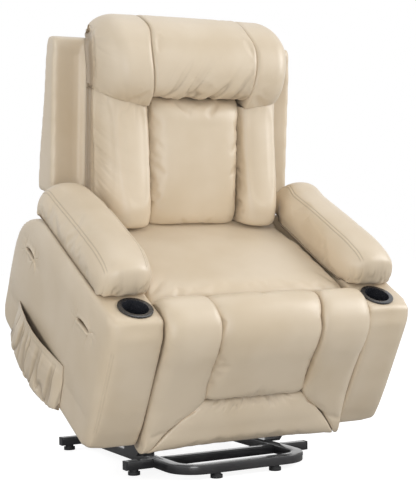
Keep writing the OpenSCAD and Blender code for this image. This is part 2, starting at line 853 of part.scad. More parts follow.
// Side outline of the winged upper shell
module wing_outline(inset) {
    r = 14;
    f = inset / cos(back_rake);
    polygon(concat(
        [[back_y(wing_low) + f, wing_low + (inset > 0 ? -lap : 0)]],
        [[back_y(wing_top - r - inset) + f, wing_top - r - inset],
            [back_y(wing_top - inset) + f + 6, wing_top - inset]],
        [shell_top[1] + [-inset - 6, -inset], shell_top[1] + [-inset, -r - inset]],
        [shell_rear[0] - [inset, 0], shell_rear[1] - [inset, (inset > 0 ? lap : 0)]]));
}

// Side outline of the narrow lower shell between the arms
module lower_outline(inset) {
    up = wing_low + (inset > 0 ? 2 * lap : 0);
    polygon([[lower_back_y + inset, up], [lower_back_y + inset, shell_low - inset],
        [300 - inset, 305 - inset], [shell_rear[1][0] - inset, up - 8]]);
}

module back_shell() {
    color(leather) lifted() difference() {
        union() {
            side_slab(-wing_half, wing_half) wing_outline(0);
            side_slab(-back_half, back_half) lower_outline(0);
        }
        side_slab(-wing_half + back_wall, wing_half - back_wall) wing_outline(back_wall);
        side_slab(-back_half + back_wall, back_half - back_wall) lower_outline(back_wall);
        rear_panel_space();
    }
}

// The zipped panel that closes the back of the shell
module panel_plate(margin, start, depth) {
    low = shell_rear[0] + [0, 12 + margin];
    top = shell_top[1] + [0, -40 - margin];
    d = top - low;
    half = back_half - margin;
    side_slab(-half, half) translate(low) rotate(angle_of(d)) translate([0, start])
        square([norm(d), depth - start]);
}

module rear_panel_space() { panel_plate(0, -2 * lap, back_wall + 6); }

module back_rear_panel() { color(leather) lifted() panel_plate(soft_gap, 0, 6); }

// Timber ladder frame inside the shell
module back_frame() {
    stile = 24;
    depth = 26;
    x1 = lane_foot - soft_gap;
    top = wing_top - 60;
    rail_front = spring_t * 1.5 + soft_gap;
    color(ply) lifted() {
        both() side_slab(x1 - stile, x1) polygon([
            [inner_y(332), 332], [inner_y(wing_low), wing_low], [inner_y(top), top],
            [inner_y(top) + depth, top], [inner_y(wing_low) + depth, wing_low - 6],
            [inner_y(332) + depth, 332]]);
        for (z = [345, wing_low + 8, top - 40]) side_slab(-x1 + stile, x1 - stile)
            polygon([[inner_y(z) + rail_front, z], [inner_y(z) + depth, z],
                [inner_y(z + 40) + depth, z + 40], [inner_y(z + 40) + rail_front, z + 40]]);
    }
}

module back_springs() {
    count = 4;
    pitch = (back_half - 66) / 2;
    turns = 14;
    swing = 24;
    wire = 4;
    z0 = wing_low + 28;
    z1 = wing_top - 80;
    base = [inner_y(z1) + spring_t * 0.8, z1];
    foot = [inner_y(z0) + spring_t * 0.8, z0];
    d = base - foot;
    step = norm(d) / turns;
    color(zinc) lifted() for (k = [0:count - 1])
        translate([(k - (count - 1) / 2) * pitch, foot[0], foot[1]])
            rotate([angle_of(d), 0, 0]) translate([0, 0, -spring_t + 2]) linear_extrude(spring_t) {
                for (i = [0:turns]) translate([-swing, i * step - wire / 2])
                    square([2 * swing, wire]);
                for (i = [0:turns - 1])
                    translate([(i % 2 == 0 ? swing - wire : -swing), i * step])
                        square([wire, step]);
            }
}

// Steel brackets from the back's pivots to its stiles
module back_hinge_brackets() {
    x0 = lane_foot;
    stile_y = inner_y(wing_low);
    color(black_steel) lifted() both() difference() {
        side_slab(x0, x0 + foot_link_t) union() {
            translate(back_pivot) circle(r = 20);
            polygon([back_pivot + [0, -20], [stile_y + 26, back_pivot[1] + 2],
                [stile_y + 26, 470], [stile_y, 470], [stile_y, 322], back_pivot + [0, 20]]);
        }
        bar_x(back_pivot, pin_r + slip, x0 - lap, x0 + foot_link_t + lap);
    }
}

function back_rest_line(z) = [back_y(z) - soft_gap, z];

module back_bolster() {
    rest = [for (z = [cushion_low, wing_low, 515, 575, 635, 685, 725, 750, crease_z - 2])
        back_rest_line(z)];
    face = [[72, cushion_low], [40, 477], [44, 515], [76, 580], [116, 645], [154, 705],
        [186, 750], [210, 774], [236, 782]];
    n = len(rest);
    color(leather) pad(rest, face, same(panel_half + 0.6, n), same(back_half, n),
        edge = [0.78, 0.52], p = 2.2, nx = 8, pull = 1);
}

module back_right_bolster() { lifted() mirror([1, 0, 0]) back_bolster(); }
module back_left_bolster() { lifted() back_bolster(); }

module lumbar_pad() {
    rest = [for (z = [cushion_low, wing_low, 520, 575, 635, 695, 745, lumbar_top])
        back_rest_line(z)];
    face = [[106, cushion_low], [76, 474], [78, 530], [106, 600], [134, 664], [164, 724],
        [194, 776], [226, 799]];
    n = len(rest);
    color(leather) lifted() pad(rest, face, same(-panel_half, n), same(panel_half, n),
        edge = [0.8, 0.8], p = 2.6, nx = 12, pull = 1.5);
}

// Resting and face lines of the headrest, from the crease up and over the shell's top
function head_rest() = concat([for (z = [crease_z, 785, 815, 845, 872, 893]) back_rest_line(z)],
    [[back_y(wing_top) + 6, wing_top + soft_gap], [back_y(wing_top) + 24, wing_top + soft_gap],
    [back_y(wing_top) + 38, wing_top + soft_gap], [back_y(wing_top) + 46, wing_top + soft_gap]]);
function head_face(deep) = [[234 - deep / 2, 784], [204 - deep, 796], [188 - deep, 832],
    [194 - deep, 884], [212 - deep, 922], [240 - deep, 955 + deep / 2], [285, 980 + deep],
    [345, 988 + deep], [402, 976 + deep], [438, 940 + deep / 2]];

// Half width of the headrest's middle, which widens upwards
function head_seam(z) = panel_half + 10 + 14 * min(1, max(0, (z - 815) / 78));

module headrest_middle() {
    rest = concat([back_rest_line(lumbar_top + 2), back_rest_line(800)], part(head_rest(), 2, 9));
    face = concat([[228, 802], [204, 810]], part(head_face(3), 2, 9));
    n = len(rest);
    half = [for (q = rest) head_seam(q[1])];
    color(leather) lifted() pad(rest, face, -half, half, edge = [0.86, 0.86], p = 2.6,
        nx = 12, pull = 0);
}

module headrest_side() {
    rest = head_rest();
    face = head_face(0);
    n = len(rest);
    xa = [for (q = rest) head_seam(q[1]) + 1.4];
    xb = [for (i = [0:n - 1]) back_half - (i > 5 ? 6 * (i - 5) : 0)];
    color(leather) pad(rest, face, xa, xb, edge = [0.8, 0.5], p = 2.1, nx = 8, pull = 0);
}

module headrest_right() { lifted() mirror([1, 0, 0]) headrest_side(); }
module headrest_left() { lifted() headrest_side(); }

/* Motors: each has a gear housing with an eye, an outer tube and a rod with an open eye */

eye_t = 20;
housing_end = 72;
rod_r = 11;

// A piece drawn along +x from pin to tip, set in the (y, z) plane at sideways place x
module along(x, from, to) {
    translate([x, from[0], from[1]]) rotate([0, 0, 90]) rotate([0, -angle_of(to - from), 0])
        children();
}

// side is 1 or -1: where the electric motor's can stands out of the gear housing
module motor_body(side) {
    difference() {
        union() {
            rotate([90, 0, 0]) translate([0, 0, -eye_t / 2]) cylinder(r = 13, h = eye_t);
            translate([8, -eye_t / 2, -10]) cube([16, eye_t, 20]);
            translate([20, -24, -26]) cube([housing_end - 20, 48, 52]);
            translate([46, 22 * side, 0]) rotate([-90 * side, 0, 0]) cylinder(r = 21, h = 66);
        }
        rotate([90, 0, 0]) translate([0, 0, -eye_t]) cylinder(r = crank_pin_r + slip, h = 2 * eye_t);
    }
}

module motor_tube(len_full) {
    rotate([0, 90, 0]) translate([0, 0, housing_end]) difference() {
        cylinder(r = 17, h = len_full - housing_end - 40);
        translate([0, 0, -lap]) cylinder(r = rod_r + soft_gap, h = len_full);
    }
}

// A rod that starts 4 mm plus its inward stroke beyond the gear housing
module motor_rod(len_full, stroke) {
    start = housing_end + 4 + stroke;
    difference() {
        union() {
            translate([len_full, 0, 0]) rotate([90, 0, 0]) translate([0, 0, -eye_t / 2])
                cylinder(r = eye_r, h = eye_t);
            rotate([0, 90, 0]) translate([0, 0, start])
                cylinder(r = rod_r, h = len_full - start - eye_r + 2);
        }
        translate([len_full, 0, 0]) rotate([90, 0, 0]) translate([0, 0, -eye_t])
            cylinder(r = eye_bore, h = 2 * eye_t);
    }
}

lift_motor_len = norm(lift_crank_tip - lift_motor_pin);
foot_motor_len = norm(foot_crank_tip - foot_motor_pin);

module lift_motor() {
    color(plastic) along(-motor_x, lift_motor_pin, lift_crank_tip) motor_body(-1);
}

module lift_motor_tube() {
    color(plastic) along(-motor_x, lift_motor_pin, lift_crank_tip) motor_tube(lift_motor_len - 90);
}

module lift_motor_rod() {
    color(zinc) along(-motor_x, lift_motor_pin, lift_crank_tip) motor_rod(lift_motor_len, 90);
}

module footrest_motor() {
    color(plastic) lifted() along(motor_x, foot_motor_pin, foot_crank_tip) {
        motor_body(1);
        motor_tube(foot_motor_len);
    }
}

module footrest_motor_rod() {
    color(zinc) lifted() along(motor_x, foot_motor_pin, foot_crank_tip)
        motor_rod(foot_motor_len, 0);
}

base_loop_rails();
base_front_cross();
base_rear_cross();
base_tube_caps();
base_feet();
base_lift_brackets();
base_pivot_pins();
base_motor_bracket();
lift_torque_tube();
lift_arms();
lift_crank_plates();
front_lift_links();
right_side_plate();
left_side_plate();
carriage_cross_tubes();
carriage_pivot_pins();
footrest_motor_bracket();
seat_frame();
seat_springs();
seat_cushion();
seat_apron();
right_arm_frame();
left_arm_frame();
right_arm_cover();
left_arm_cover();
right_armrest_pad();
left_armrest_pad();
right_cup_holder();
left_cup_holder();
right_pocket();
left_pocket();
control_box();
handset();
up_button();
down_button();
footrest_drive_tube();
footrest_drive_links();
footrest_lower_links();
footrest_board();
footrest_brackets();
footrest_middle_pad();
footrest_right_bolster();
footrest_left_bolster();
footrest_lower_band();
back_hinge_brackets();
back_frame();
back_springs();
back_shell();
back_rear_panel();
headrest_middle();
headrest_right();
headrest_left();
lumbar_pad();
back_right_bolster();
back_left_bolster();
lift_motor();
lift_motor_tube();
lift_motor_rod();
footrest_motor();
footrest_motor_rod();
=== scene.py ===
"""Looks of a padded lift recliner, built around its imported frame."""
import json
import logging
import math
from collections.abc import Callable, Iterator
from contextlib import contextmanager
from dataclasses import dataclass, field
from enum import Enum

import bmesh
import bpy
import numpy as np
from mathutils import Matrix, Vector


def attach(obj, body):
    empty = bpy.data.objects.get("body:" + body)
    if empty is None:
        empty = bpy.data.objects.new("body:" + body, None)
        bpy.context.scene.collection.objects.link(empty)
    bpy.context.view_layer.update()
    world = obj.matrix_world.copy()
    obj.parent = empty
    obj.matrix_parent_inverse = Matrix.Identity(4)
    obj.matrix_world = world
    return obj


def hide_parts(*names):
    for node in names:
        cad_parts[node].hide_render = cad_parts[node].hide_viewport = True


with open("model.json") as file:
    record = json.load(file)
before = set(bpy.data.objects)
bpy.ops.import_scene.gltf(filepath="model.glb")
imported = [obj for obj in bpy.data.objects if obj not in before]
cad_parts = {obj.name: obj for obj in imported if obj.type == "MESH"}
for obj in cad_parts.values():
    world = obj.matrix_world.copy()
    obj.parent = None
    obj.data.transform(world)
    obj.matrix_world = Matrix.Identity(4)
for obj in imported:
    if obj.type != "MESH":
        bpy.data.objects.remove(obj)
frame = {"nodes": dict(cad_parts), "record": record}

log = logging.getLogger("recliner")
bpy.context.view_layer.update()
MM = 0.001

# The level chair is carried onto its raised stand by this turn and shift
TILT = math.radians(28.3)
STAND = (Matrix.Translation((0.0, -0.1687, 0.0958)) @ Matrix.Rotation(TILT, 4, "X")
         @ Matrix.Translation((0.0, 0.400, -0.050)))

Slope = tuple[float, float]     # where a ramp starts, and its reach
ALONG_FACE = (0.39, 0.92)       # y and z of the way up a raked face
WAVES = 97                      # size of the noise table
STITCH_PITCH = 6.4              # mm from stitch to stitch
STITCH_LONG = 4.6
THREAD = 0.55                   # half the thread's thickness, mm
NOTCH = 1.5                     # half the width of a sewn line, mm


class Side(Enum):
    """Which side of the chair a piece is on, seen by the person who sits in it."""

    RIGHT = -1
    LEFT = 1

    @property
    def word(self) -> str:
        """Name of the side as the frame's nodes write it."""
        return self.name.lower()


class Edge(Enum):
    """The four edges of a cushion's face panel."""

    START = "start"
    END = "end"
    INNER = "inner"
    OUTER = "outer"


# ---------------------------------------------------------------- finishes


def plug(tree: bpy.types.NodeTree, socket: bpy.types.NodeSocket, value: object) -> None:
    """Link an output to a socket, or set the socket to a plain value."""
    if isinstance(value, bpy.types.NodeSocket):
        tree.links.new(value, socket)
    else:
        socket.default_value = value


def add_node(tree: bpy.types.NodeTree, kind: str, links: dict[str | int, object] | None = None,
             **values: object) -> bpy.types.Node:
    """Add a node to a tree.

    Args:
        tree: the node tree.
        kind: the node type without its prefix.
        links: input name or index to the output socket that feeds it, or to its value.
        values: the node's own properties.

    Returns:
        The node.
    """
    made = tree.nodes.new("ShaderNode" + kind)
    for key, value in values.items():
        setattr(made, key, value)
    for key, value in (links or {}).items():
        plug(tree, made.inputs[key], value)
    return made


class Shader:
    """A material whose nodes are strung together one by one."""

    def __init__(self, name: str) -> None:
        """Start a material.

        Args:
            name: the material's name.
        """
        self.material = bpy.data.materials.new(name)
        self.material.use_nodes = True
        self.tree = self.material.node_tree
        self.bsdf = self.tree.nodes["Principled BSDF"]
        self.coords = self.tree.nodes.new("ShaderNodeTexCoord")

    def node(self, kind: str, links: dict[str | int, object] | None = None,
             **values: object) -> bpy.types.Node:
        """Add a node to the material."""
        return add_node(self.tree, kind, links, **values)

    def noise(self, scale: float, detail: float = 4.0, rough: float = 0.5,
              vector: bpy.types.NodeSocket | None = None) -> bpy.types.NodeSocket:
        """Noise on object coordinates, as a factor."""
        made = self.node("TexNoise", {"Vector": vector or self.coords.outputs["Object"], "Scale": scale,
                                      "Detail": detail, "Roughness": rough})
        return made.outputs["Fac"]

    def ramp(self, factor: bpy.types.NodeSocket, stops: list[tuple[float, tuple[float, ...]]]
             ) -> bpy.types.NodeSocket:
        """Colour ramp through the given stops."""
        made = self.node("ValToRGB", {"Fac": factor})
        points = made.color_ramp.elements
        while len(points) < len(stops):
            points.new(0.5)
        for point, (place, colour) in zip(points, stops):
            point.position = place
            point.color = (*colour, 1.0)
        return made.outputs["Color"]

    def scaled(self, value: bpy.types.NodeSocket, low: float, high: float) -> bpy.types.NodeSocket:
        """Map a 0 to 1 value to low..high."""
        made = self.node("MapRange", {"Value": value, "To Min": low, "To Max": high})
        return made.outputs["Result"]

    def bump(self, layers: list[tuple[bpy.types.NodeSocket, float, float]]) -> None:
        """Chain bumps into the shader's normal.

        Args:
            layers: height socket, distance in metres and strength of each bump.
        """
        normal = None
        for height, distance, strength in layers:
            links: dict[str, object] = {"Height": height, "Distance": distance, "Strength": strength}
            if normal is not None:
                links["Normal"] = normal
            normal = self.node("Bump", links).outputs["Normal"]
        self.feed("Normal", normal)

    def feed(self, socket: str, value: object) -> None:
        """Link or set one of the shader's own inputs."""
        plug(self.tree, self.bsdf.inputs[socket], value)


@dataclass(frozen=True)
class Leather:
    """Soft satin leather with a fine pebble grain, faint creases and painted shade in seams, folds and
    hollows.
    """

    name: str = "warm_beige_leather"
    light: tuple[float, float, float] = (0.690, 0.580, 0.435)
    deep: tuple[float, float, float] = (0.640, 0.525, 0.375)
    # colour of the painted shade laid into seams, folds, tucks, hollows and undersides
    seam: tuple[float, float, float] = (0.120, 0.072, 0.034)
    roughness: tuple[float, float] = (0.34, 0.44)

    def material(self) -> bpy.types.Material:
        """Build the leather."""
        s = Shader(self.name)
        cloud = s.noise(5.5, 3.0)
        tone = s.ramp(cloud, [(0.35, self.deep), (0.62, self.light)])
        # Painted shade: a per-vertex share mixes the seam colour into seams, folds and hollows
        depth = s.node("Attribute", attribute_name="painted_shade").outputs["Fac"]
        mix = s.node("MixRGB", {"Fac": depth, "Color1": tone, "Color2": (*self.seam, 1.0)})
        s.feed("Base Color", mix.outputs["Color"])
        grain = s.node("TexVoronoi", {"Vector": s.coords.outputs["Object"], "Scale": 520.0},
                       feature="DISTANCE_TO_EDGE").outputs["Distance"]
        pebble = s.node("MapRange", {"Value": grain, "From Max": 0.35}).outputs["Result"]
        creases = s.noise(38.0, 6.0, 0.62)
        s.feed("Roughness", s.scaled(creases, *self.roughness))
        s.feed("Specular IOR Level", 0.72)
        s.feed("Sheen Weight", 0.10)
        s.feed("Sheen Roughness", 0.4)
        s.bump([(pebble, 0.00022, 0.5), (s.noise(900.0, 2.0), 0.00012, 0.3), (creases, 0.0010, 0.22)])
        return s.material


@dataclass(frozen=True)
class SatinSteel:
    """Black powder-coated steel with a fine orange peel and slight rubbing."""

    name: str = "black_satin_steel"
    colour: tuple[float, float, float] = (0.017, 0.017, 0.019)
    worn: tuple[float, float, float] = (0.035, 0.035, 0.038)
    roughness: tuple[float, float] = (0.26, 0.36)

    def material(self) -> bpy.types.Material:
        """Build the painted steel."""
        s = Shader(self.name)
        cloud = s.noise(9.0, 5.0)
        s.feed("Base Color", s.ramp(cloud, [(0.4, self.colour), (0.7, self.worn)]))
        s.feed("Roughness", s.scaled(s.noise(60.0, 5.0), *self.roughness))
        s.feed("Specular IOR Level", 0.45)
        s.feed("Coat Weight", 0.6)
        s.feed("Coat Roughness", 0.07)
        s.bump([(s.noise(700.0, 2.0), 0.0002, 0.25)])
        return s.material


@dataclass(frozen=True)
class Zinc:
    """Bright zinc-plated steel, faintly brushed along the object's width."""

    name: str = "zinc_plated_steel"
    colour: tuple[float, float, float] = (0.56, 0.57, 0.59)
    dull: tuple[float, float, float] = (0.42, 0.43, 0.45)

    def material(self) -> bpy.types.Material:
        """Build the plated steel."""
        s = Shader(self.name)
        s.feed("Metallic", 1.0)
        s.feed("Base Color", s.ramp(s.noise(25.0, 4.0), [(0.35, self.dull), (0.65, self.colour)]))
        stretch = s.node("Mapping", {"Vector": s.coords.outputs["Object"], "Scale": (8.0, 400.0, 400.0)})
        lines = s.noise(1.0, 3.0, 0.5, stretch.outputs["Vector"])
        s.feed("Roughness", s.scaled(lines, 0.25, 0.42))
        s.bump([(lines, 0.0002, 0.2)])
        return s.material


@dataclass(frozen=True)
class Plywood:
    """Pale birch ply with long grain and thin glue lines."""

    name: str = "birch_ply"
    light: tuple[float, float, float] = (0.62, 0.45, 0.27)
    dark: tuple[float, float, float] = (0.42, 0.27, 0.14)

    def material(self) -> bpy.types.Material:
        """Build the ply."""
        s = Shader(self.name)
        stretch = s.node("Mapping", {"Vector": s.coords.outputs["Object"], "Scale": (4.0, 60.0, 60.0)})
        grain = s.noise(1.0, 6.0, 0.6, stretch.outputs["Vector"])
        s.feed("Base Color", s.ramp(grain, [(0.3, self.dark), (0.6, self.light)]))
        s.feed("Roughness", s.scaled(grain, 0.55, 0.75))
        s.bump([(grain, 0.0006, 0.35)])
        return s.material


@dataclass(frozen=True)
class Moulded:
    """Moulded plastic or rubber with a fine spark-eroded texture."""

    name: str
    colour: tuple[float, float, float]
    roughness: tuple[float, float]
    grain: float = 650.0
    coat: float = 0.0

    def material(self) -> bpy.types.Material:
        """Build the plastic."""
        s = Shader(self.name)
        lighter = tuple(min(1.0, c * 1.5 + 0.004) for c in self.colour)
        s.feed("Base Color", s.ramp(s.noise(14.0, 3.0), [(0.4, self.colour), (0.75, lighter)]))
        s.feed("Roughness", s.scaled(s.noise(90.0, 4.0), *self.roughness))
        s.feed("Coat Weight", self.coat)
        s.feed("Coat Roughness", 0.12)
        s.bump([(s.noise(self.grain, 2.0), 0.00025, 0.3)])
        return s.material


@dataclass(frozen=True)
class Thread:
    """Twisted sewing thread."""

    name: str = "beige_thread"
    colour: tuple[float, float, float] = (0.55, 0.44, 0.30)
    dark: tuple[float, float, float] = (0.36, 0.27, 0.17)

    def material(self) -> bpy.types.Material:
        """Build the thread."""
        s = Shader(self.name)
        twist = s.noise(1400.0, 2.0)
        s.feed("Base Color", s.ramp(twist, [(0.35, self.dark), (0.6, self.colour)]))
        s.feed("Roughness", 0.7)
        s.bump([(twist, 0.0003, 0.5)])
        return s.material


@dataclass
class Wardrobe:
    """All finishes of the chair, made once."""

    leather: bpy.types.Material = field(default_factory=Leather().material)
    steel: bpy.types.Material = field(default_factory=SatinSteel().material)
    zinc: bpy.types.Material = field(default_factory=Zinc().material)
    ply: bpy.types.Material = field(default_factory=Plywood().material)
    plastic: bpy.types.Material = field(
        default_factory=Moulded("black_plastic", (0.022, 0.022, 0.025), (0.45, 0.6)).material)
    cup: bpy.types.Material = field(
        default_factory=Moulded("cup_plastic", (0.016, 0.017, 0.021), (0.2, 0.34), 400.0, 0.4).material)
    button: bpy.types.Material = field(
        default_factory=Moulded("grey_button_plastic", (0.38, 0.39, 0.41), (0.35, 0.5)).material)
    rubber: bpy.types.Material = field(
        default_factory=Moulded("black_rubber", (0.014, 0.014, 0.015), (0.6, 0.8), 300.0).material)
    thread: bpy.types.Material = field(default_factory=Thread().material)

    def by_slot(self, slot: str) -> bpy.types.Material:
        """Finish of one of the record's material slots."""
        return {"leather": self.leather, "black_steel": self.steel, "zinc_steel": self.zinc,
                "plywood": self.ply, "black_plastic": self.plastic, "cup_plastic": self.cup,
                "button_plastic": self.button, "rubber": self.rubber}[slot]


# ---------------------------------------------------------------- mesh tools


def deselect() -> None:
    """Leave edit mode and select nothing."""
    if bpy.context.object is not None and bpy.context.object.mode != "OBJECT":
        bpy.ops.object.mode_set(mode="OBJECT")
    bpy.ops.object.select_all(action="DESELECT")


def take(piece: bpy.types.Object) -> None:
    """Select one object alone and make it active."""
    deselect()
    piece.select_set(True)
    bpy.context.view_layer.objects.active = piece


def settle(piece: bpy.types.Object, kind: str, **values: object) -> None:
    """Add a modifier and apply it.

    Args:
        piece: the object.
        kind: the modifier's type.
        values: its settings.
    """
    take(piece)
    made = piece.modifiers.new(kind.lower(), kind)
    for key, value in values.items():
        setattr(made, key, value)
    bpy.ops.object.modifier_apply(modifier=made.name)


def smooth(piece: bpy.types.Object, angle: float) -> None:
    """Shade a piece smooth, with its edges sharper than angle degrees kept."""
    take(piece)
    bpy.ops.object.shade_smooth_by_angle(angle=math.radians(angle))


def placed(name: str, data: bpy.types.ID) -> bpy.types.Object:
    """A new object in the scene, holding data."""
    made = bpy.data.objects.new(name, data)
    bpy.context.scene.collection.objects.link(made)
    return made


@contextmanager
def opened(piece: bpy.types.Object) -> Iterator[bmesh.types.BMesh]:
    """The piece's mesh, open for editing and written back afterwards."""
    work = bmesh.new()
    work.from_mesh(piece.data)
    yield work
    work.to_mesh(piece.data)
    work.free()


def from_mesh(name: str, points: np.ndarray, faces: list[list[int]]) -> bpy.types.Object:
    """Make an object from points in metres and faces."""
    mesh = bpy.data.meshes.new(name)
    mesh.from_pydata([tuple(p) for p in points], [], faces)
    mesh.update()
    return placed(name, mesh)


def node_copy(node: str, name: str) -> bpy.types.Object:
    """Merged copy of a frame node's mesh, as a new object at the origin."""
    source = frame["nodes"][node]
    made = placed(name, source.data.copy())
    made.matrix_world = Matrix.Identity(4)
    made.data.transform(source.matrix_world)
    with opened(made) as work:
        bmesh.ops.remove_doubles(work, verts=work.verts, dist=1e-5)
    made.data.materials.clear()
    return made


def numbers_of(piece: bpy.types.Object, name: str = "co") -> np.ndarray:
    """A vector of each of the piece's vertices, its place or its normal, as an n by 3 array."""
    flat = np.empty(len(piece.data.vertices) * 3)
    piece.data.vertices.foreach_get(name, flat)
    return flat.reshape(-1, 3)


def put_coords(piece: bpy.types.Object, places: np.ndarray) -> None:
    """Write the piece's vertex places."""
    piece.data.vertices.foreach_set("co", places.ravel())
    piece.data.update()


def mark(piece: bpy.types.Object, name: str, values: np.ndarray) -> None:
    """Store a number for each vertex under name."""
    layer = piece.data.attributes.get(name) or piece.data.attributes.new(name, "FLOAT", "POINT")
    layer.data.foreach_set("value", values.astype(np.float32))


# ---------------------------------------------------------------- cushions


def ramp(value: np.ndarray, start: float, reach: float) -> np.ndarray:
    """0 up to start, then rising to 1 over reach; a negative reach falls off downwards."""
    return np.clip((value - start) / reach, 0, 1)


def between(value: np.ndarray, rise: Slope, fall: Slope) -> np.ndarray:
    """1 between a rising and a falling slope, and 0 outside them."""
    return ramp(value, *rise) * ramp(value, *fall)


def totals(steps: np.ndarray) -> np.ndarray:
    """Running total of the steps, from 0."""
    return np.concatenate([[0.0], np.cumsum(steps)])


def lengths(path: np.ndarray) -> np.ndarray:
    """Distance along a path of points at each of them."""
    return totals(np.linalg.norm(np.diff(path, axis=0), axis=1))


def quads_of(grid: np.ndarray) -> np.ndarray:
    """Quads between the lines of a grid of vertex numbers."""
    return np.stack([grid[:-1, :-1], grid[1:, :-1], grid[1:, 1:], grid[:-1, 1:]], axis=2).reshape(-1, 4)


def wander(x: np.ndarray, y: np.ndarray, seed: int) -> np.ndarray:
    """Smooth noise from -1 to 1 over a plane, one unit to a wave."""
    table = np.random.default_rng(seed).uniform(-1.0, 1.0, (WAVES, WAVES))
    i, j = np.floor(x).astype(int), np.floor(y).astype(int)
    fx, fy = x - i, y - j
    fx, fy = fx * fx * (3 - 2 * fx), fy * fy * (3 - 2 * fy)
    i, j = i % WAVES, j % WAVES
    k, m = (i + 1) % WAVES, (j + 1) % WAVES
    low = table[i, j] * (1 - fx) + table[k, j] * fx
    high = table[i, m] * (1 - fx) + table[k, m] * fx
    return low * (1 - fy) + high * fy


def through(t: np.ndarray, values: np.ndarray, want: np.ndarray) -> np.ndarray:
    """Smooth curve through values at t along the first axis, read at want."""
    slope = np.gradient(values, t, axis=0)
    at = np.clip(np.searchsorted(t, want, side="right") - 1, 0, len(t) - 2)
    shape = (-1,) + (1,) * (values.ndim - 1)
    h = (t[at + 1] - t[at]).reshape(shape)
    f = ((want - t[at]) / (t[at + 1] - t[at])).reshape(shape)
    return ((2 * f**3 - 3 * f**2 + 1) * values[at] + (f**3 - 2 * f**2 + f) * h * slope[at]
            + (-2 * f**3 + 3 * f**2) * values[at + 1] + (f**3 - f**2) * h * slope[at + 1])


@dataclass(frozen=True)
class Gather:
    """Puckers that run in from one edge of a cushion's panel."""

    edge: Edge
    depth: float                # mm
    reach: float                # mm
    pitch: float                # mm between folds
    seed: int = 0
    slant: float = 0.0          # sideways drift of a fold for each mm away from the edge
    span: tuple[float, float] = (0.0, 1.0)

    def press(self, run: np.ndarray, gap: np.ndarray, length: float) -> np.ndarray:
        """Height of the folds.

        Args:
            run: distance along the edge, mm.
            gap: distance from the edge, mm.
            length: length of the edge, mm.

        Returns:
            Displacement in mm, mostly inward.
        """
        along = run + self.slant * gap
        fold = wander(along / self.pitch, gap / (self.reach * 1.3), self.seed)
        fine = wander(along / (self.pitch * 0.46), gap / (self.reach * 0.9), self.seed + 11)
        crease = -np.maximum(0.0, 1.0 - np.abs(fold) * 4.0) ** 1.6
        height = 0.9 * crease + 0.55 * fold + 0.25 * fine
        low, high = self.span
        share = run / length
        mask = np.clip((share - low) / 0.08 + 0.5, 0, 1) * np.clip((high - share) / 0.08 + 0.5, 0, 1)
        patch = 0.55 + 0.45 * wander(run / (self.pitch * 3.7), gap * 0, self.seed + 23)
        fade = np.exp(-((gap / (self.reach * (0.6 + 0.5 * patch))) ** 1.7))
        return self.depth * height * fade * mask * patch


@dataclass(frozen=True)
class Seam:
    """A sewn line along a cushion, measured over its face from the outer or the inner edge."""

    off: float                          # mm from the outer edge; negative from the inner one
    rows: tuple[float, ...] = (0.0,)    # stitch rows beside the line, mm
    depth: float = 1.5
    stitched: bool = False
    fall: float = 0.0                   # how much lower the strip beyond an outer seam lies, mm
    start: float = 0.0                  # mm along the face before it begins

    def places(self, width: float) -> list[float]:
        """Where its rows lie across a face of the given width."""
        middle = width - self.off if self.off > 0 else -self.off
        return [middle + row for row in self.rows]


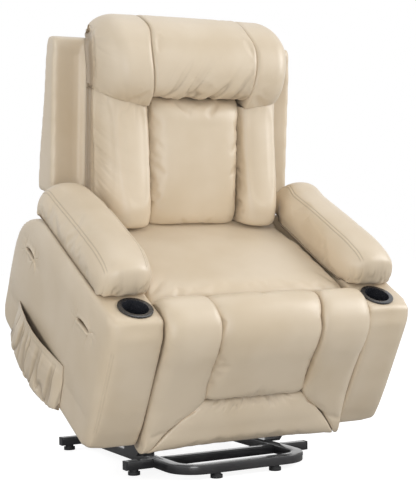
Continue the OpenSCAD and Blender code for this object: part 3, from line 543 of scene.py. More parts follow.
@dataclass
class Cushion:
    """A crowned pad between a resting line and a face line, in millimetres of the level chair.

    Each row is rest y, rest z, face y, face z, inner x, outer x, from front-bottom to back-top.

    Attributes:
        power: how square the section is towards its inner and its outer side.
        drops: shares of the thickness that the sewn edge lies under the crown, at the start, the end,
            the inner and the outer edge.
        ends: how far the rounding reaches at the start and the end, mm.
        dome: share of the thickness that the middle stands over the sides.
        slant: how far the start and end edges are raised, and turned across, mm.
        walls: power of the section's height, where its sides stand upright; 0 takes power.
        tuck: how far the inner and outer sewn edges are drawn in under the sides, mm.
        shade: how deep the four sewn edges lie in their own shadow.
        step: spacing of the cut grid, mm.
        pressure, slack, cap: swelling of the cloth, its spare length, and the most that it moves, mm.
        fine, rings: how many points a section and a face line are first worked out at.
        u, v, top, low: the grid's distances both ways, the face panel and the resting panel.
    """

    name: str
    rows: list[tuple[float, float, float, float, float, float]]
    power: tuple[float, float] = (4.0, 4.0)
    drops: tuple[float, float, float, float] = (0.3, 0.3, 0.2, 0.2)
    ends: tuple[float, float] = (24.0, 24.0)
    dome: float = 0.0
    slant: tuple[tuple[float, float], tuple[float, float]] = ((0.0, 0.0), (0.0, 0.0))
    walls: float = 0.0
    tuck: tuple[float, float] = (0.0, 0.0)
    shade: tuple[float, float, float, float] = (0.5, 0.5, 0.5, 0.5)
    step: float = 9.0
    gathers: tuple[Gather, ...] = ()
    seams: tuple[Seam, ...] = ()
    pressure: float = 2.0
    slack: float = 0.015
    cap: float = 8.0
    mirrored: bool = False
    fine: int = 1441
    rings: int = 240
    u: np.ndarray | None = None
    v: np.ndarray | None = None
    top: np.ndarray | None = None
    low: np.ndarray | None = None

    def line(self) -> np.ndarray:
        """Rows on one smooth curve, as many as rings."""
        rows = np.array(self.rows, dtype=float)
        gap = np.linalg.norm(np.diff(rows[:, 2:4], axis=0), axis=1)
        gap = np.maximum(gap, 0.25 * np.linalg.norm(np.diff(rows[:, :2], axis=0), axis=1)) + 1e-3
        t = totals(gap)
        return through(t, rows, np.linspace(0.0, t[-1], self.rings))

    def across(self, half: float, rise: float) -> tuple[np.ndarray, np.ndarray, np.ndarray]:
        """Cross-section from inner to outer edge, even along its surface.

        Args:
            half: half the width.
            rise: thickness over the seam, at the deeper side.

        Returns:
            Sideways share (-1 to 1), crown share (0 to 1) and distance along the surface.
        """
        phi = np.linspace(-math.pi / 2, math.pi / 2, self.fine)
        power = np.where(phi < 0, self.power[0], self.power[1])
        drop = np.where(phi < 0, self.drops[2], self.drops[3]) * rise
        share = np.sign(phi) * np.abs(np.sin(phi)) ** (2 / power)
        crown = np.abs(np.cos(phi)) ** (2 / (self.walls or power))
        crown[[0, -1]] = 0.0
        run = totals(np.hypot(np.diff(share) * half, np.diff((1 - crown) * drop)))
        count = max(8, int(round(run[-1] / self.step))) + 1
        even = np.linspace(0.0, run[-1], count)
        return np.interp(even, run, share), np.interp(even, run, crown), even

    def along(self, total: float) -> tuple[np.ndarray, np.ndarray]:
        """Distances along the face line, close together at the rounded ends.

        Args:
            total: length of the face line.

        Returns:
            The distances, and how much of the end drops is left at each (0 to 1).
        """
        first, last = self.ends
        steps = max(3, int(round(max(first, last) * 1.4 / self.step)))
        turn = np.linspace(0.0, math.pi / 2, steps + 1)
        middle = np.linspace(first, total - last, max(3, int(round((total - first - last) / self.step))) + 1)
        places = np.concatenate([first * (1 - np.cos(turn[:-1])), middle,
                                 total - last * (1 - np.cos(turn[:-1][::-1]))])

        def lost(distance: np.ndarray, radius: float) -> np.ndarray:
            """Share of an end's drop at a distance from it."""
            part = np.clip(1 - distance / radius, 0.0, 1.0)
            return 1 - np.sqrt(np.maximum(0.0, 1 - part**2))

        keep = (1 - self.drops[0] * lost(places, first)) * (1 - self.drops[1] * lost(total - places, last))
        return places, keep

    def cut(self) -> None:
        """Lay out the face panel and the resting panel as grids."""
        fine = self.line()
        line = lengths(fine[:, 2:4])
        self.u, keep = self.along(float(line[-1]))
        rows = np.stack([np.interp(self.u, line, fine[:, k]) for k in range(6)], axis=1)
        half = float(np.mean(rows[:, 5] - rows[:, 4])) / 2
        rise = float(np.mean(np.linalg.norm(rows[:, 2:4] - rows[:, :2], axis=1)))
        share, crown, self.v = self.across(half, rise)
        inner, outer = rows[:, 4], rows[:, 5]
        x = (inner + outer)[:, None] / 2 + share[None, :] * (outer - inner)[:, None] / 2
        hem = np.clip(1 - crown / 0.4, 0.0, 1.0) ** 2
        x += np.where(share < 0, self.tuck[0] * hem, -self.tuck[1] * hem)[None, :]
        drop = np.where(share < 0, self.drops[2], self.drops[3])
        top = (1 - drop * (1 - crown))[None, :] * keep[:, None] * (1 - self.dome * share[None, :] ** 2)
        inside = (1 - np.abs(share[None, :]) ** 12) ** (1 / 12)
        near = np.minimum(self.u, self.u[-1] - self.u) / (0.5 * self.step)
        low = top * (1 - inside * np.clip(near, 0, 1)[:, None])

        def lay(part: np.ndarray) -> np.ndarray:
            """Points at a share of the way from the resting line to the face line."""
            y = rows[:, 0:1] + (rows[:, 2:3] - rows[:, 0:1]) * part
            z = rows[:, 1:2] + (rows[:, 3:4] - rows[:, 1:2]) * part
            for (lift, turn), gap in zip(self.slant, (self.u, self.u[-1] - self.u)):
                shift = (lift + turn * share[None, :]) * np.clip(1 - gap / 90, 0, 1)[:, None] ** 2
                y, z = y + ALONG_FACE[0] * shift, z + ALONG_FACE[1] * shift
            return np.stack([x, y, z], axis=2)

        self.top, self.low = lay(top), lay(low)

    def mesh(self, name: str) -> bpy.types.Object:
        """Join the two panels at their common edge into one closed mesh."""
        nu, nv = self.top.shape[:2]
        index = np.arange(nu * nv).reshape(nu, nv)
        under = index.copy()
        under[1:-1, 1:-1] = nu * nv + np.arange((nu - 2) * (nv - 2)).reshape(nu - 2, nv - 2)
        points = np.concatenate([self.top.reshape(-1, 3), self.low[1:-1, 1:-1].reshape(-1, 3)]) * MM
        if self.mirrored:
            points[:, 0] *= -1
        corners = quads_of(index)
        made = from_mesh(name, points, np.concatenate([corners, quads_of(under)[:, ::-1]]).tolist())
        # The map holds distances over the panels in metres, the resting panel's 3 m aside
        flat = (np.stack(np.meshgrid(self.u, self.v, indexing="ij"), axis=2) * MM).reshape(-1, 2)
        both = np.concatenate([flat[corners], flat[corners[:, ::-1]] + (0.0, 3.0)]).reshape(-1)
        made.data.uv_layers.new(name="panel").data.foreach_set("uv", both)
        with opened(made) as work:
            bmesh.ops.recalc_face_normals(work, faces=work.faces)
        return made

    def swell(self, frames: int = 20) -> None:
        """Let the face panel swell between its sewn edges as cloth under pressure."""
        nu, nv = self.top.shape[:2]
        made = self.mesh(self.name + "_cloth")
        before = numbers_of(made)
        rim = np.ones((nu, nv), dtype=bool)
        rim[1:-1, 1:-1] = False
        pinned = np.nonzero(rim.reshape(-1))[0].tolist() + list(range(nu * nv, len(before)))
        made.vertex_groups.new(name="held").add(pinned, 1.0, "REPLACE")
        take(made)
        cloth = made.modifiers.new("cloth", "CLOTH")
        rule = cloth.settings
        rule.quality = 6
        rule.mass = 0.35
        rule.tension_stiffness = rule.compression_stiffness = 12.0
        rule.shear_stiffness = 4.0
        rule.bending_stiffness = 1.0
        rule.use_pressure = True
        rule.uniform_pressure_force = self.pressure
        rule.shrink_min = -self.slack
        rule.vertex_group_mass = "held"
        rule.effector_weights.gravity = 0.0
        cloth.collision_settings.use_collision = False
        cloth.point_cache.frame_start = 1
        cloth.point_cache.frame_end = frames
        scene = bpy.context.scene
        for step in range(1, frames + 1):
            scene.frame_set(step)
        shown = made.evaluated_get(bpy.context.evaluated_depsgraph_get())
        after = np.empty(len(before) * 3)
        shown.data.vertices.foreach_get("co", after)
        scene.frame_set(1)
        mesh = made.data
        bpy.data.objects.remove(made)
        bpy.data.meshes.remove(mesh)
        move = (after.reshape(-1, 3) - before)[:nu * nv] / MM
        if not np.all(np.isfinite(move)):
            log.warning("%s: the cloth came apart, so it keeps its cut shape", self.name)
            return
        if self.mirrored:
            move[:, 0] *= -1
        size = np.linalg.norm(move, axis=1, keepdims=True)
        move *= self.cap * np.tanh(size / self.cap) / np.maximum(size, 1e-9)
        self.top = self.top + move.reshape(nu, nv, 3)

    def refine(self) -> None:
        """Double both grids' lines, with more of them beside each seam."""
        u = np.sort(np.concatenate([self.u, (self.u[1:] + self.u[:-1]) / 2]))
        v = np.concatenate([self.v, (self.v[1:] + self.v[:-1]) / 2])
        tight = [place + shift for seam in self.seams for place in seam.places(self.v[-1])
                 for shift in (-4.5, -2.4, -1.2, 0.0, 1.2, 2.4, 4.5)]
        if tight:
            extra = np.array(sorted(tight))
            extra = extra[np.concatenate([[True], np.diff(extra) > 0.6])]
            away = np.min(np.abs(v[:, None] - extra[None, :]), axis=1)
            v = np.concatenate([v[(away > 2.0) | (v == 0) | (v == self.v[-1])], extra])
        v = np.sort(v)

        def both(grid: np.ndarray) -> np.ndarray:
            """A grid read at the new lines."""
            tall = through(self.u, grid, u)
            return through(self.v, tall.transpose(1, 0, 2), v).transpose(1, 0, 2)

        self.top = both(self.top)
        low = np.stack([np.interp(u, self.u, self.low[:, j, k]) for j in range(self.low.shape[1])
                        for k in range(3)], axis=1).reshape(len(u), -1, 3)
        self.low = np.stack([np.interp(v, self.v, low[i, :, k]) for i in range(len(u))
                             for k in range(3)], axis=0).reshape(len(u), 3, -1).transpose(0, 2, 1)
        self.u, self.v = u, v

    def outward(self) -> np.ndarray:
        """Unit directions out of the face panel."""
        du = np.gradient(self.top, self.u, axis=0)
        dv = np.gradient(self.top, self.v, axis=1)
        away = np.cross(du, dv)
        away /= np.maximum(np.linalg.norm(away, axis=2, keepdims=True), 1e-9)
        middle = self.top - self.low
        if np.sum(away * middle) < 0:
            away = -away
        return away

    def pucker(self) -> np.ndarray:
        """Press the gathers and seams into the face panel, and paint shade into them.

        Returns:
            How much painted shade each point takes, in a seam, in a fold or beside a sewn edge, 0 to 1.
        """
        u, v = np.meshgrid(self.u, self.v, indexing="ij")
        away = {Edge.START: u, Edge.END: self.u[-1] - u, Edge.INNER: v, Edge.OUTER: self.v[-1] - v}
        near = np.minimum.reduce([away[e] for e in Edge])
        push = np.zeros_like(u)
        for g in self.gathers:
            ends = g.edge in (Edge.START, Edge.END)
            push += g.press(v if ends else u, away[g.edge], self.v[-1] if ends else self.u[-1])
        push *= np.clip(near / 5.0, 0.0, 1.0)
        # Painted shade along the sewn edges and in the folds' creases
        deep = np.maximum.reduce([share * np.exp(-((away[e] / 3.0) ** 1.5))
                                  for e, share in zip(Edge, self.shade)])
        deep = deep + np.clip(-push * 0.09, 0.0, 0.3)
        for seam in self.seams:
            rows = seam.places(self.v[-1])
            fade = np.clip(np.minimum(u - seam.start, self.u[-1] - u) / 12.0, 0.0, 1.0)
            for place in rows:
                notch = np.exp(-(((v - place) / NOTCH) ** 2)) * fade
                push -= seam.depth * notch
                # painted shade in the seam's groove
                deep = np.maximum(deep, (0.3 if seam.stitched else 0.5) * notch)
                push -= seam.fall * ramp(v, place, 2.4) * ramp(away[Edge.OUTER], 0, 8)
            if len(rows) > 1:
                middle = sum(rows) / len(rows)
                push += 0.5 * np.exp(-(((v - middle) / 2.6) ** 2)) * fade
        self.top = self.top + self.outward() * push[:, :, None]
        return deep

    def stitches(self, kit: "Wardrobe", body: str) -> None:
        """Rows of thread along the stitched seams."""
        away = self.outward()
        rows = [(place, seam.start) for seam in self.seams if seam.stitched
                for place in seam.places(self.v[-1])]
        spots = []
        for place, first in rows:
            j = np.searchsorted(self.v, place)
            j = min(max(j, 1), len(self.v) - 1)
            share = (place - self.v[j - 1]) / (self.v[j] - self.v[j - 1])
            path = self.top[:, j - 1] * (1 - share) + self.top[:, j] * share
            lift = away[:, j - 1] * (1 - share) + away[:, j] * share
            run = lengths(path)
            for start in np.arange(14.0 + first, run[-1] - 18.0, STITCH_PITCH):
                wanted = ((start, path), (start + STITCH_LONG, path), (start + STITCH_LONG / 2, lift))
                spots.append(tuple(np.array([np.interp(d, run, curve[:, k]) for k in range(3)])
                                   for d, curve in wanted))
        if spots:
            sew(self.name + "_thread", spots, kit, body, self.mirrored)

    def finish(self, kit: "Wardrobe", body: str, node: str, fill: float = 0.8) -> bpy.types.Object:
        """Args:
            kit: the finishes.
            body: the body that it rides on.
            node: the frame node that it stands for.
            fill: not used.

        Returns:
            The cushion.
        """
        self.cut()
        if self.pressure > 0:
            self.swell()
        self.refine()
        deep = self.pucker()
        made = self.mesh(self.name)
        # The resting panel, hidden against the frame, takes painted shade all over
        inner = np.full((self.top.shape[0] - 2) * (self.top.shape[1] - 2), 0.6)
        mark(made, "painted_shade", np.concatenate([deep.reshape(-1), inner]))
        made.data.transform(STAND)
        smooth(made, 75.0)
        made.data.materials.append(kit.leather)
        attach(made, body)
        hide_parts(node)
        self.stitches(kit, body)
        log.info("cushion %s: %d faces", self.name, len(made.data.polygons))
        return made


def sew(name: str, spots: list[tuple[np.ndarray, np.ndarray, np.ndarray]], kit: "Wardrobe", body: str,
        mirrored: bool = False) -> bpy.types.Object:
    """Make a row of stitches, each a thin spindle.

    Args:
        name: the piece's name.
        spots: both ends and the outward direction of each stitch, in mm of the level chair.
        kit: the finishes.
        body: the body that it rides on.
        mirrored: whether the row is on the right.

    Returns:
        The thread.
    """
    points, faces = [], []
    for a, b, up in spots:
        way = (b - a) / max(float(np.linalg.norm(b - a)), 1e-6)
        side = np.cross(way, up)
        base = len(points)
        middle = (a + b) / 2 + up * 0.35
        points.extend([a - up * 0.25, b - up * 0.25])
        ring = [middle + (side * math.cos(k * math.pi / 3) + up * math.sin(k * math.pi / 3)) * THREAD
                for k in range(6)]
        points.extend(ring)
        for k in range(6):
            m = (k + 1) % 6
            faces.extend([[base, base + 2 + m, base + 2 + k], [base + 1, base + 2 + k, base + 2 + m]])
    places = np.array(points) * MM
    if mirrored:
        places[:, 0] *= -1
        faces = [f[::-1] for f in faces]
    made = from_mesh(name, places, faces)
    made.data.transform(STAND)
    made.data.materials.append(kit.thread)
    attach(made, body)
    return made


def rows_of(rest: list[tuple[float, float]], face: list[tuple[float, float]], inner: list[float] | float,
            outer: list[float] | float) -> list[tuple[float, float, float, float, float, float]]:
    """Join resting and face lines and the side places into cushion rows."""
    count = len(rest)
    a = [inner] * count if isinstance(inner, (int, float)) else inner
    b = [outer] * count if isinstance(outer, (int, float)) else outer
    return [(*rest[i], *face[i], a[i], b[i]) for i in range(count)]


# ---------------------------------------------------------------- the back


@dataclass
class Back:
    """Winged back with a headrest roll, a middle panel and two side bolsters."""

    rake: float = 23.1
    rear_y: float = 222.0
    wing_low: float = 478.0
    wing_top: float = 898.0
    half: float = 306.0
    panel: float = 146.0
    crease: float = 765.0
    lumbar_top: float = 782.0
    wing_side: float = 4.0      # how far the wings are filled out sideways,
    wing_rear: float = 15.0     # rearwards,
    wing_drop: float = 14.0     # and down at the rear low corner
    wing_dent: float = 13.0     # depth of the hollow between wing and bolster
    dent_x: tuple[Slope, Slope] = ((296, 14), (378, -50))
    dent_z: tuple[Slope, Slope] = ((490, 40), (892, -40))

    def line(self, z: float) -> tuple[float, float]:
        """Point of the shell's front at a height."""
        rise = max(z, self.wing_low) - self.wing_low
        return (self.rear_y + rise * math.tan(math.radians(self.rake)) - 0.6, z)

    def seam_half(self, z: float) -> float:
        """Half width of the headrest's middle part at a height."""
        return self.panel + 10 + 12 * min(1.0, max(0.0, (z - 815) / 50)) - (10 if z > self.wing_top else 0)

    def head_rest(self) -> list[tuple[float, float]]:
        """Resting line of the headrest, over the top of the shell."""
        top = self.wing_top + 0.6
        y = self.line(self.wing_top)[0]
        return [self.line(z) for z in (self.crease, 785, 815, 845, 872, 893)] + [
            (y + 6, top), (y + 24, top), (y + 38, top), (y + 46, top)]

    def head_face(self, deep: float) -> list[tuple[float, float]]:
        """Face line of the headrest."""
        return [(234 - deep / 2, 784), (204 - deep, 796), (188 - deep, 832), (194 - deep, 884),
                (212 - deep, 922), (240 - deep, 955 + deep / 2), (285, 980 + deep), (345, 988 + deep),
                (402, 976 + deep), (438, 940 + deep / 2)]

    def bolster(self, side: Side) -> Cushion:
        """Long side bolster beside the middle panel."""
        rest = [self.line(z) for z in (457, 478, 515, 575, 635, 685, 725, 750, self.crease - 0.6)]
        face = [(72, 457), (40, 477), (44, 515), (76, 580), (116, 645), (154, 705), (182, 748), (196, 771),
                (204.4, 785.2)]
        outer = [self.half - cut for cut in (9, 9, 9, 8, 8, 8, 7, 7, 7)]
        return Cushion(f"back_bolster_{side.word}", rows_of(rest, face, self.panel + 0.6, outer),
                       power=(3.0, 2.0), drops=(0.5, 0.01, 0.33, 0.9), ends=(34, 6), walls=2.4,
                       pressure=1.0, slack=0.003, cap=3.0,
                       mirrored=side is Side.RIGHT, seams=(Seam(46, depth=2.6, fall=4.0),),
                       tuck=(0.0, 16.0), shade=(0.5, 0.08, 0.6, 0.4), slant=((0.0, 0.0), (5.0, 12.0)),
                       gathers=(Gather(Edge.INNER, 7.5, 30, 17, 31 + side.value),
                                Gather(Edge.OUTER, 3.4, 104, 19, 41 + side.value, 0.3, (0.0, 0.8)),
                                Gather(Edge.END, 1.6, 36, 24, 51 + side.value)))

    def lumbar(self) -> Cushion:
        """Middle panel."""
        rest = [self.line(z) for z in (457, 464, 480, 520, 575, 635, 695, 745, self.lumbar_top)]
        face = [(96, 453), (79, 461), (74, 486), (84, 535), (108, 600), (136, 664), (166, 724), (194, 776),
                (226, 799)]
        return Cushion("middle_back_panel", rows_of(rest, face, -self.panel, self.panel), power=(4.2, 4.2),
                       drops=(0.16, 0.34, 0.3, 0.3), ends=(22, 18), dome=0.02, walls=3.6,
                       gathers=(Gather(Edge.INNER, 3.6, 22, 22, 3), Gather(Edge.OUTER, 3.6, 22, 22, 5),
                                Gather(Edge.END, 1.8, 24, 26, 7), Gather(Edge.START, 3.4, 18, 18, 9)))

    def headrest_middle(self) -> Cushion:
        """Middle of the headrest roll."""
        rest = [self.line(self.lumbar_top + 2), self.line(800)] + self.head_rest()[2:]
        face = [(228, 802), (204, 810)] + self.head_face(3)[2:]
        half = [self.seam_half(q[1]) for q in rest]
        return Cushion("headrest_roll_middle", rows_of(rest, face, [-h for h in half], half),
                       power=(9.0, 9.0), drops=(0.3, 0.5, 0.025, 0.025), ends=(20, 40),
                       shade=(0.6, 0.5, 0.1, 0.1),
                       pressure=1.4, slack=0.005, cap=4.0,
                       gathers=(Gather(Edge.START, 14.0, 84, 26, 62, -0.6, (0.1, 0.98)),
                                Gather(Edge.START, 8.0, 36, 12, 64, -0.4, (0.05, 0.98)),
                                Gather(Edge.INNER, 1.0, 20, 30, 3), Gather(Edge.OUTER, 1.6, 30, 24, 5)))

    def headrest_side(self, side: Side) -> Cushion:
        """Side of the headrest roll."""
        rest = self.head_rest()
        half = [self.seam_half(q[1]) + 1.2 for q in rest]
        face = [(204, 786), (197, 800)] + self.head_face(0)[2:]
        outer = [self.half - cut for cut in (7, 7, 6, 3, 0, 0, 4, 10, 16, 22)]
        return Cushion(f"headrest_roll_{side.word}", rows_of(rest, face, half, outer),
                       power=(12.0, 2.15), drops=(0.01, 0.5, 0.02, 0.84), ends=(6, 40), walls=2.5,
                       mirrored=side is Side.RIGHT, seams=(Seam(42, depth=2.6, fall=4.0),),
                       tuck=(0.0, 15.0), shade=(0.08, 0.5, 0.1, 0.4), slant=((5.0, 12.0), (0.0, 0.0)),
                       gathers=(Gather(Edge.START, 1.8, 36, 24, 6 + side.value),
                                Gather(Edge.OUTER, 1.6, 90, 22, 45 + side.value, 0.2)))

    def swell_wings(self, shell: bpy.types.Object) -> None:
        """Fill out the wings' sides, most of all low down towards the rear, and hollow their front."""
        shell.data.transform(STAND.inverted())
        places = numbers_of(shell) / MM
        x, y, z = places.T
        wide = np.abs(x)
        wing = ramp(wide, 330, 50)
        deep = y - (self.rear_y + (z - self.wing_low) * math.tan(math.radians(self.rake)))
        rear = ramp(deep, 20, 60)
        dent = between(wide, *self.dent_x) * ramp(deep, 24, -10)
        places[:, 0] += np.sign(x) * wing * self.wing_side * ramp(z, 900, -80)
        places[:, 1] += self.wing_dent * dent * between(z, *self.dent_z)
        places[:, 1] += wing * rear * ramp(z, 720, -160) * self.wing_rear
        places[:, 2] -= wing * rear * ramp(z, 560, -90) * self.wing_drop
        put_coords(shell, places * MM)
        shell.data.transform(STAND)

    def covers(self, kit: Wardrobe) -> None:
        """Upholstered shell and its rear panel, softened from the frame's own."""
        for node, name, grain, turns in (("back_shell", "back_shell_cover", 0.006, 14),
                                         ("back_rear_panel", "zipped_rear_panel", 0.0025, 5)):
            made = node_copy(node, name)
            settle(made, "REMESH", mode="VOXEL", voxel_size=grain)
            settle(made, "SMOOTH", factor=0.5, iterations=turns)
            if node == "back_shell":
                self.swell_wings(made)
            mark(made, "painted_shade", np.zeros(len(made.data.vertices)))
            smooth(made, 60.0)
            made.data.materials.append(kit.leather)
            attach(made, "back")
            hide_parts(node)
            log.info("cover %s: %d faces", name, len(made.data.polygons))

    def dress(self, kit: Wardrobe) -> None:
        """Make the back's soft pieces."""
        self.covers(kit)
        self.lumbar().finish(kit, "back", "lumbar_pad")
        self.headrest_middle().finish(kit, "back", "headrest_middle")
        for side in Side:
            self.bolster(side).finish(kit, "back", f"back_{side.word}_bolster")
            self.headrest_side(side).finish(kit, "back", f"headrest_{side.word}")


# ---------------------------------------------------------------- seat and footrest


@dataclass
class Seat:
    """Seat cushion and the leather front of its rail."""

    half: float = 313.0
    low: float = 376.6
    top: float = 475.0
    front: float = -323.0
    back: float = 138.0

    def cushion(self) -> Cushion:
        """Flat-topped seat cushion, lower at the back."""
        shares = [0.55, 0.86, 0.96, 1.0, 1.0, 0.97, 0.86, 0.79, 0.76, 0.5]
        n = len(shares)
        long = self.back - self.front
        ys = [self.front + long * (1 - math.cos(math.pi * i / (n - 1))) / 2 for i in range(n)]
        rest = [(y, self.low) for y in ys]
        face = [(y, self.low + (self.top - self.low) * s) for y, s in zip(ys, shares)]
        return Cushion("seat_pad", rows_of(rest, face, -self.half, self.half), power=(4.2, 4.2),
                       drops=(0.5, 0.5, 0.55, 0.55), ends=(30, 30), pressure=1.2, cap=5.0,
                       gathers=(Gather(Edge.INNER, 1.6, 40, 34, 8), Gather(Edge.OUTER, 1.6, 40, 34, 9)))

    def apron(self) -> Cushion:
        """Thin padded cover of the front rail."""
        rest = [(-322.3, z) for z in (304.6, 330, 350, 371.4)]
        face = [(-325.0, z) for z in (304.6, 330, 350, 371.4)]
        return Cushion("seat_front_cover", rows_of(rest, face, -315.0, 315.0), power=(6, 6),
                       drops=(0.5, 0.5, 0.5, 0.5), ends=(6, 6), step=12.0, pressure=0.0)

    def dress(self, kit: Wardrobe) -> None:
        """Make the seat's soft pieces."""
        self.cushion().finish(kit, "carriage", "seat_cushion")
        self.apron().finish(kit, "carriage", "seat_apron", 0.9)


@dataclass
class Footrest:
    """Padding of the footrest: a middle pad, two bolsters and a lower band."""

    front: float = -468.0
    board: float = -385.0
    board_top: float = 405.0
    bottom: float = 52.0
    panel_low: float = 211.0
    panel: float = 156.0
    half: float = 313.0
    rear: float = -327.5

    def rest(self) -> list[tuple[float, float]]:
        """Resting line, from the bottom edge up and over the board."""
        f, top = self.board - 0.5, self.board_top
        return [(f, self.bottom + 12), (f, self.bottom + 22), (f, 130), (f, self.panel_low), (f, 262),
                (f, 316), (f, 366), (f, top + 0.5), (f + 10, top + 1.2), (f + 22, top + 6),
                (f + 40, top + 13), (self.rear, top + 13)]

    def face(self, deep: float) -> list[tuple[float, float]]:
        """Face line, deep millimetres proud of the common one."""
        f = self.front - deep
        return [(f + 40, self.bottom), (f + 22, self.bottom + 9), (f + 17, 132), (f + 17, self.panel_low),
                (f + 15, 268), (f + 10, 326), (f + 4, 380), (f + 8, 424), (f + 26, 462), (f + 58, 487 + deep),
                (f + 98, 494 + deep), (self.rear, 474 + deep / 2)]

    def seam_at(self, z: float, inset: float) -> float:
        """Sideways place of the slanting seam between a bolster and the lower band."""
        corner = self.half - 3
        share = (self.panel_low - z) / (self.panel_low - self.bottom - 12)
        return self.panel + (corner - self.panel) * max(0.0, min(1.0, share)) + inset

    def middle(self) -> Cushion:
        """Middle pad."""
        rest, face = self.rest()[3:], self.face(4)[3:]
        half = [self.panel + max(0, i - 5) * 7 for i in range(len(rest))]
        return Cushion("footrest_middle", rows_of(rest, face, [-h for h in half], half), power=(4.4, 4.4),
                       drops=(0.26, 0.5, 0.36, 0.36), ends=(22, 26), dome=0.02, walls=2.4,
                       gathers=(Gather(Edge.START, 1.2, 14, 15, 1), Gather(Edge.INNER, 1.4, 22, 30, 4),
                                Gather(Edge.OUTER, 1.4, 22, 30, 6)))

    def bolster(self, side: Side) -> Cushion:
        """Side bolster, narrowing to the lower corner."""
        rest, face = self.rest(), self.face(0)
        inner = [self.seam_at(q[1], 0.6) + max(0, i - 8) * 7 for i, q in enumerate(rest)]
        return Cushion(f"footrest_bolster_{side.word}", rows_of(rest, face, inner, self.half),
                       power=(5.0, 3.4), drops=(0.4, 0.5, 0.34, 0.38), ends=(16, 26),
                       mirrored=side is Side.RIGHT, pressure=1.2, slack=0.004, cap=4.0,
                       gathers=(Gather(Edge.INNER, 1.6, 24, 26, 72 + side.value),
                                Gather(Edge.OUTER, 1.4, 30, 30, 82 + side.value)))

    def band(self) -> Cushion:
        """Lower band under the middle pad."""
        rest = self.rest()[:3] + [(self.board - 0.5, self.panel_low - 1)]
        face = self.face(0)[:3] + [(self.front + 30, self.panel_low - 3)]
        half = [self.seam_at(q[1], -0.6) for q in rest]
        return Cushion("footrest_band", rows_of(rest, face, [-h for h in half], half), power=(14.0, 14.0),
                       drops=(0.4, 0.2, 0.1, 0.1), ends=(16, 18),
                       gathers=(Gather(Edge.END, 6.5, 26, 12, 33, 0.2, (0.15, 0.72)),
                                Gather(Edge.INNER, 1.0, 16, 26, 3), Gather(Edge.OUTER, 1.0, 16, 26, 5)))

    def dress(self, kit: Wardrobe) -> None:
        """Make the footrest's soft pieces."""
        self.middle().finish(kit, "footrest", "footrest_middle_pad")
        self.band().finish(kit, "footrest", "footrest_lower_band")
        for side in Side:
            self.bolster(side).finish(kit, "footrest", f"footrest_{side.word}_bolster")


# ---------------------------------------------------------------- arms


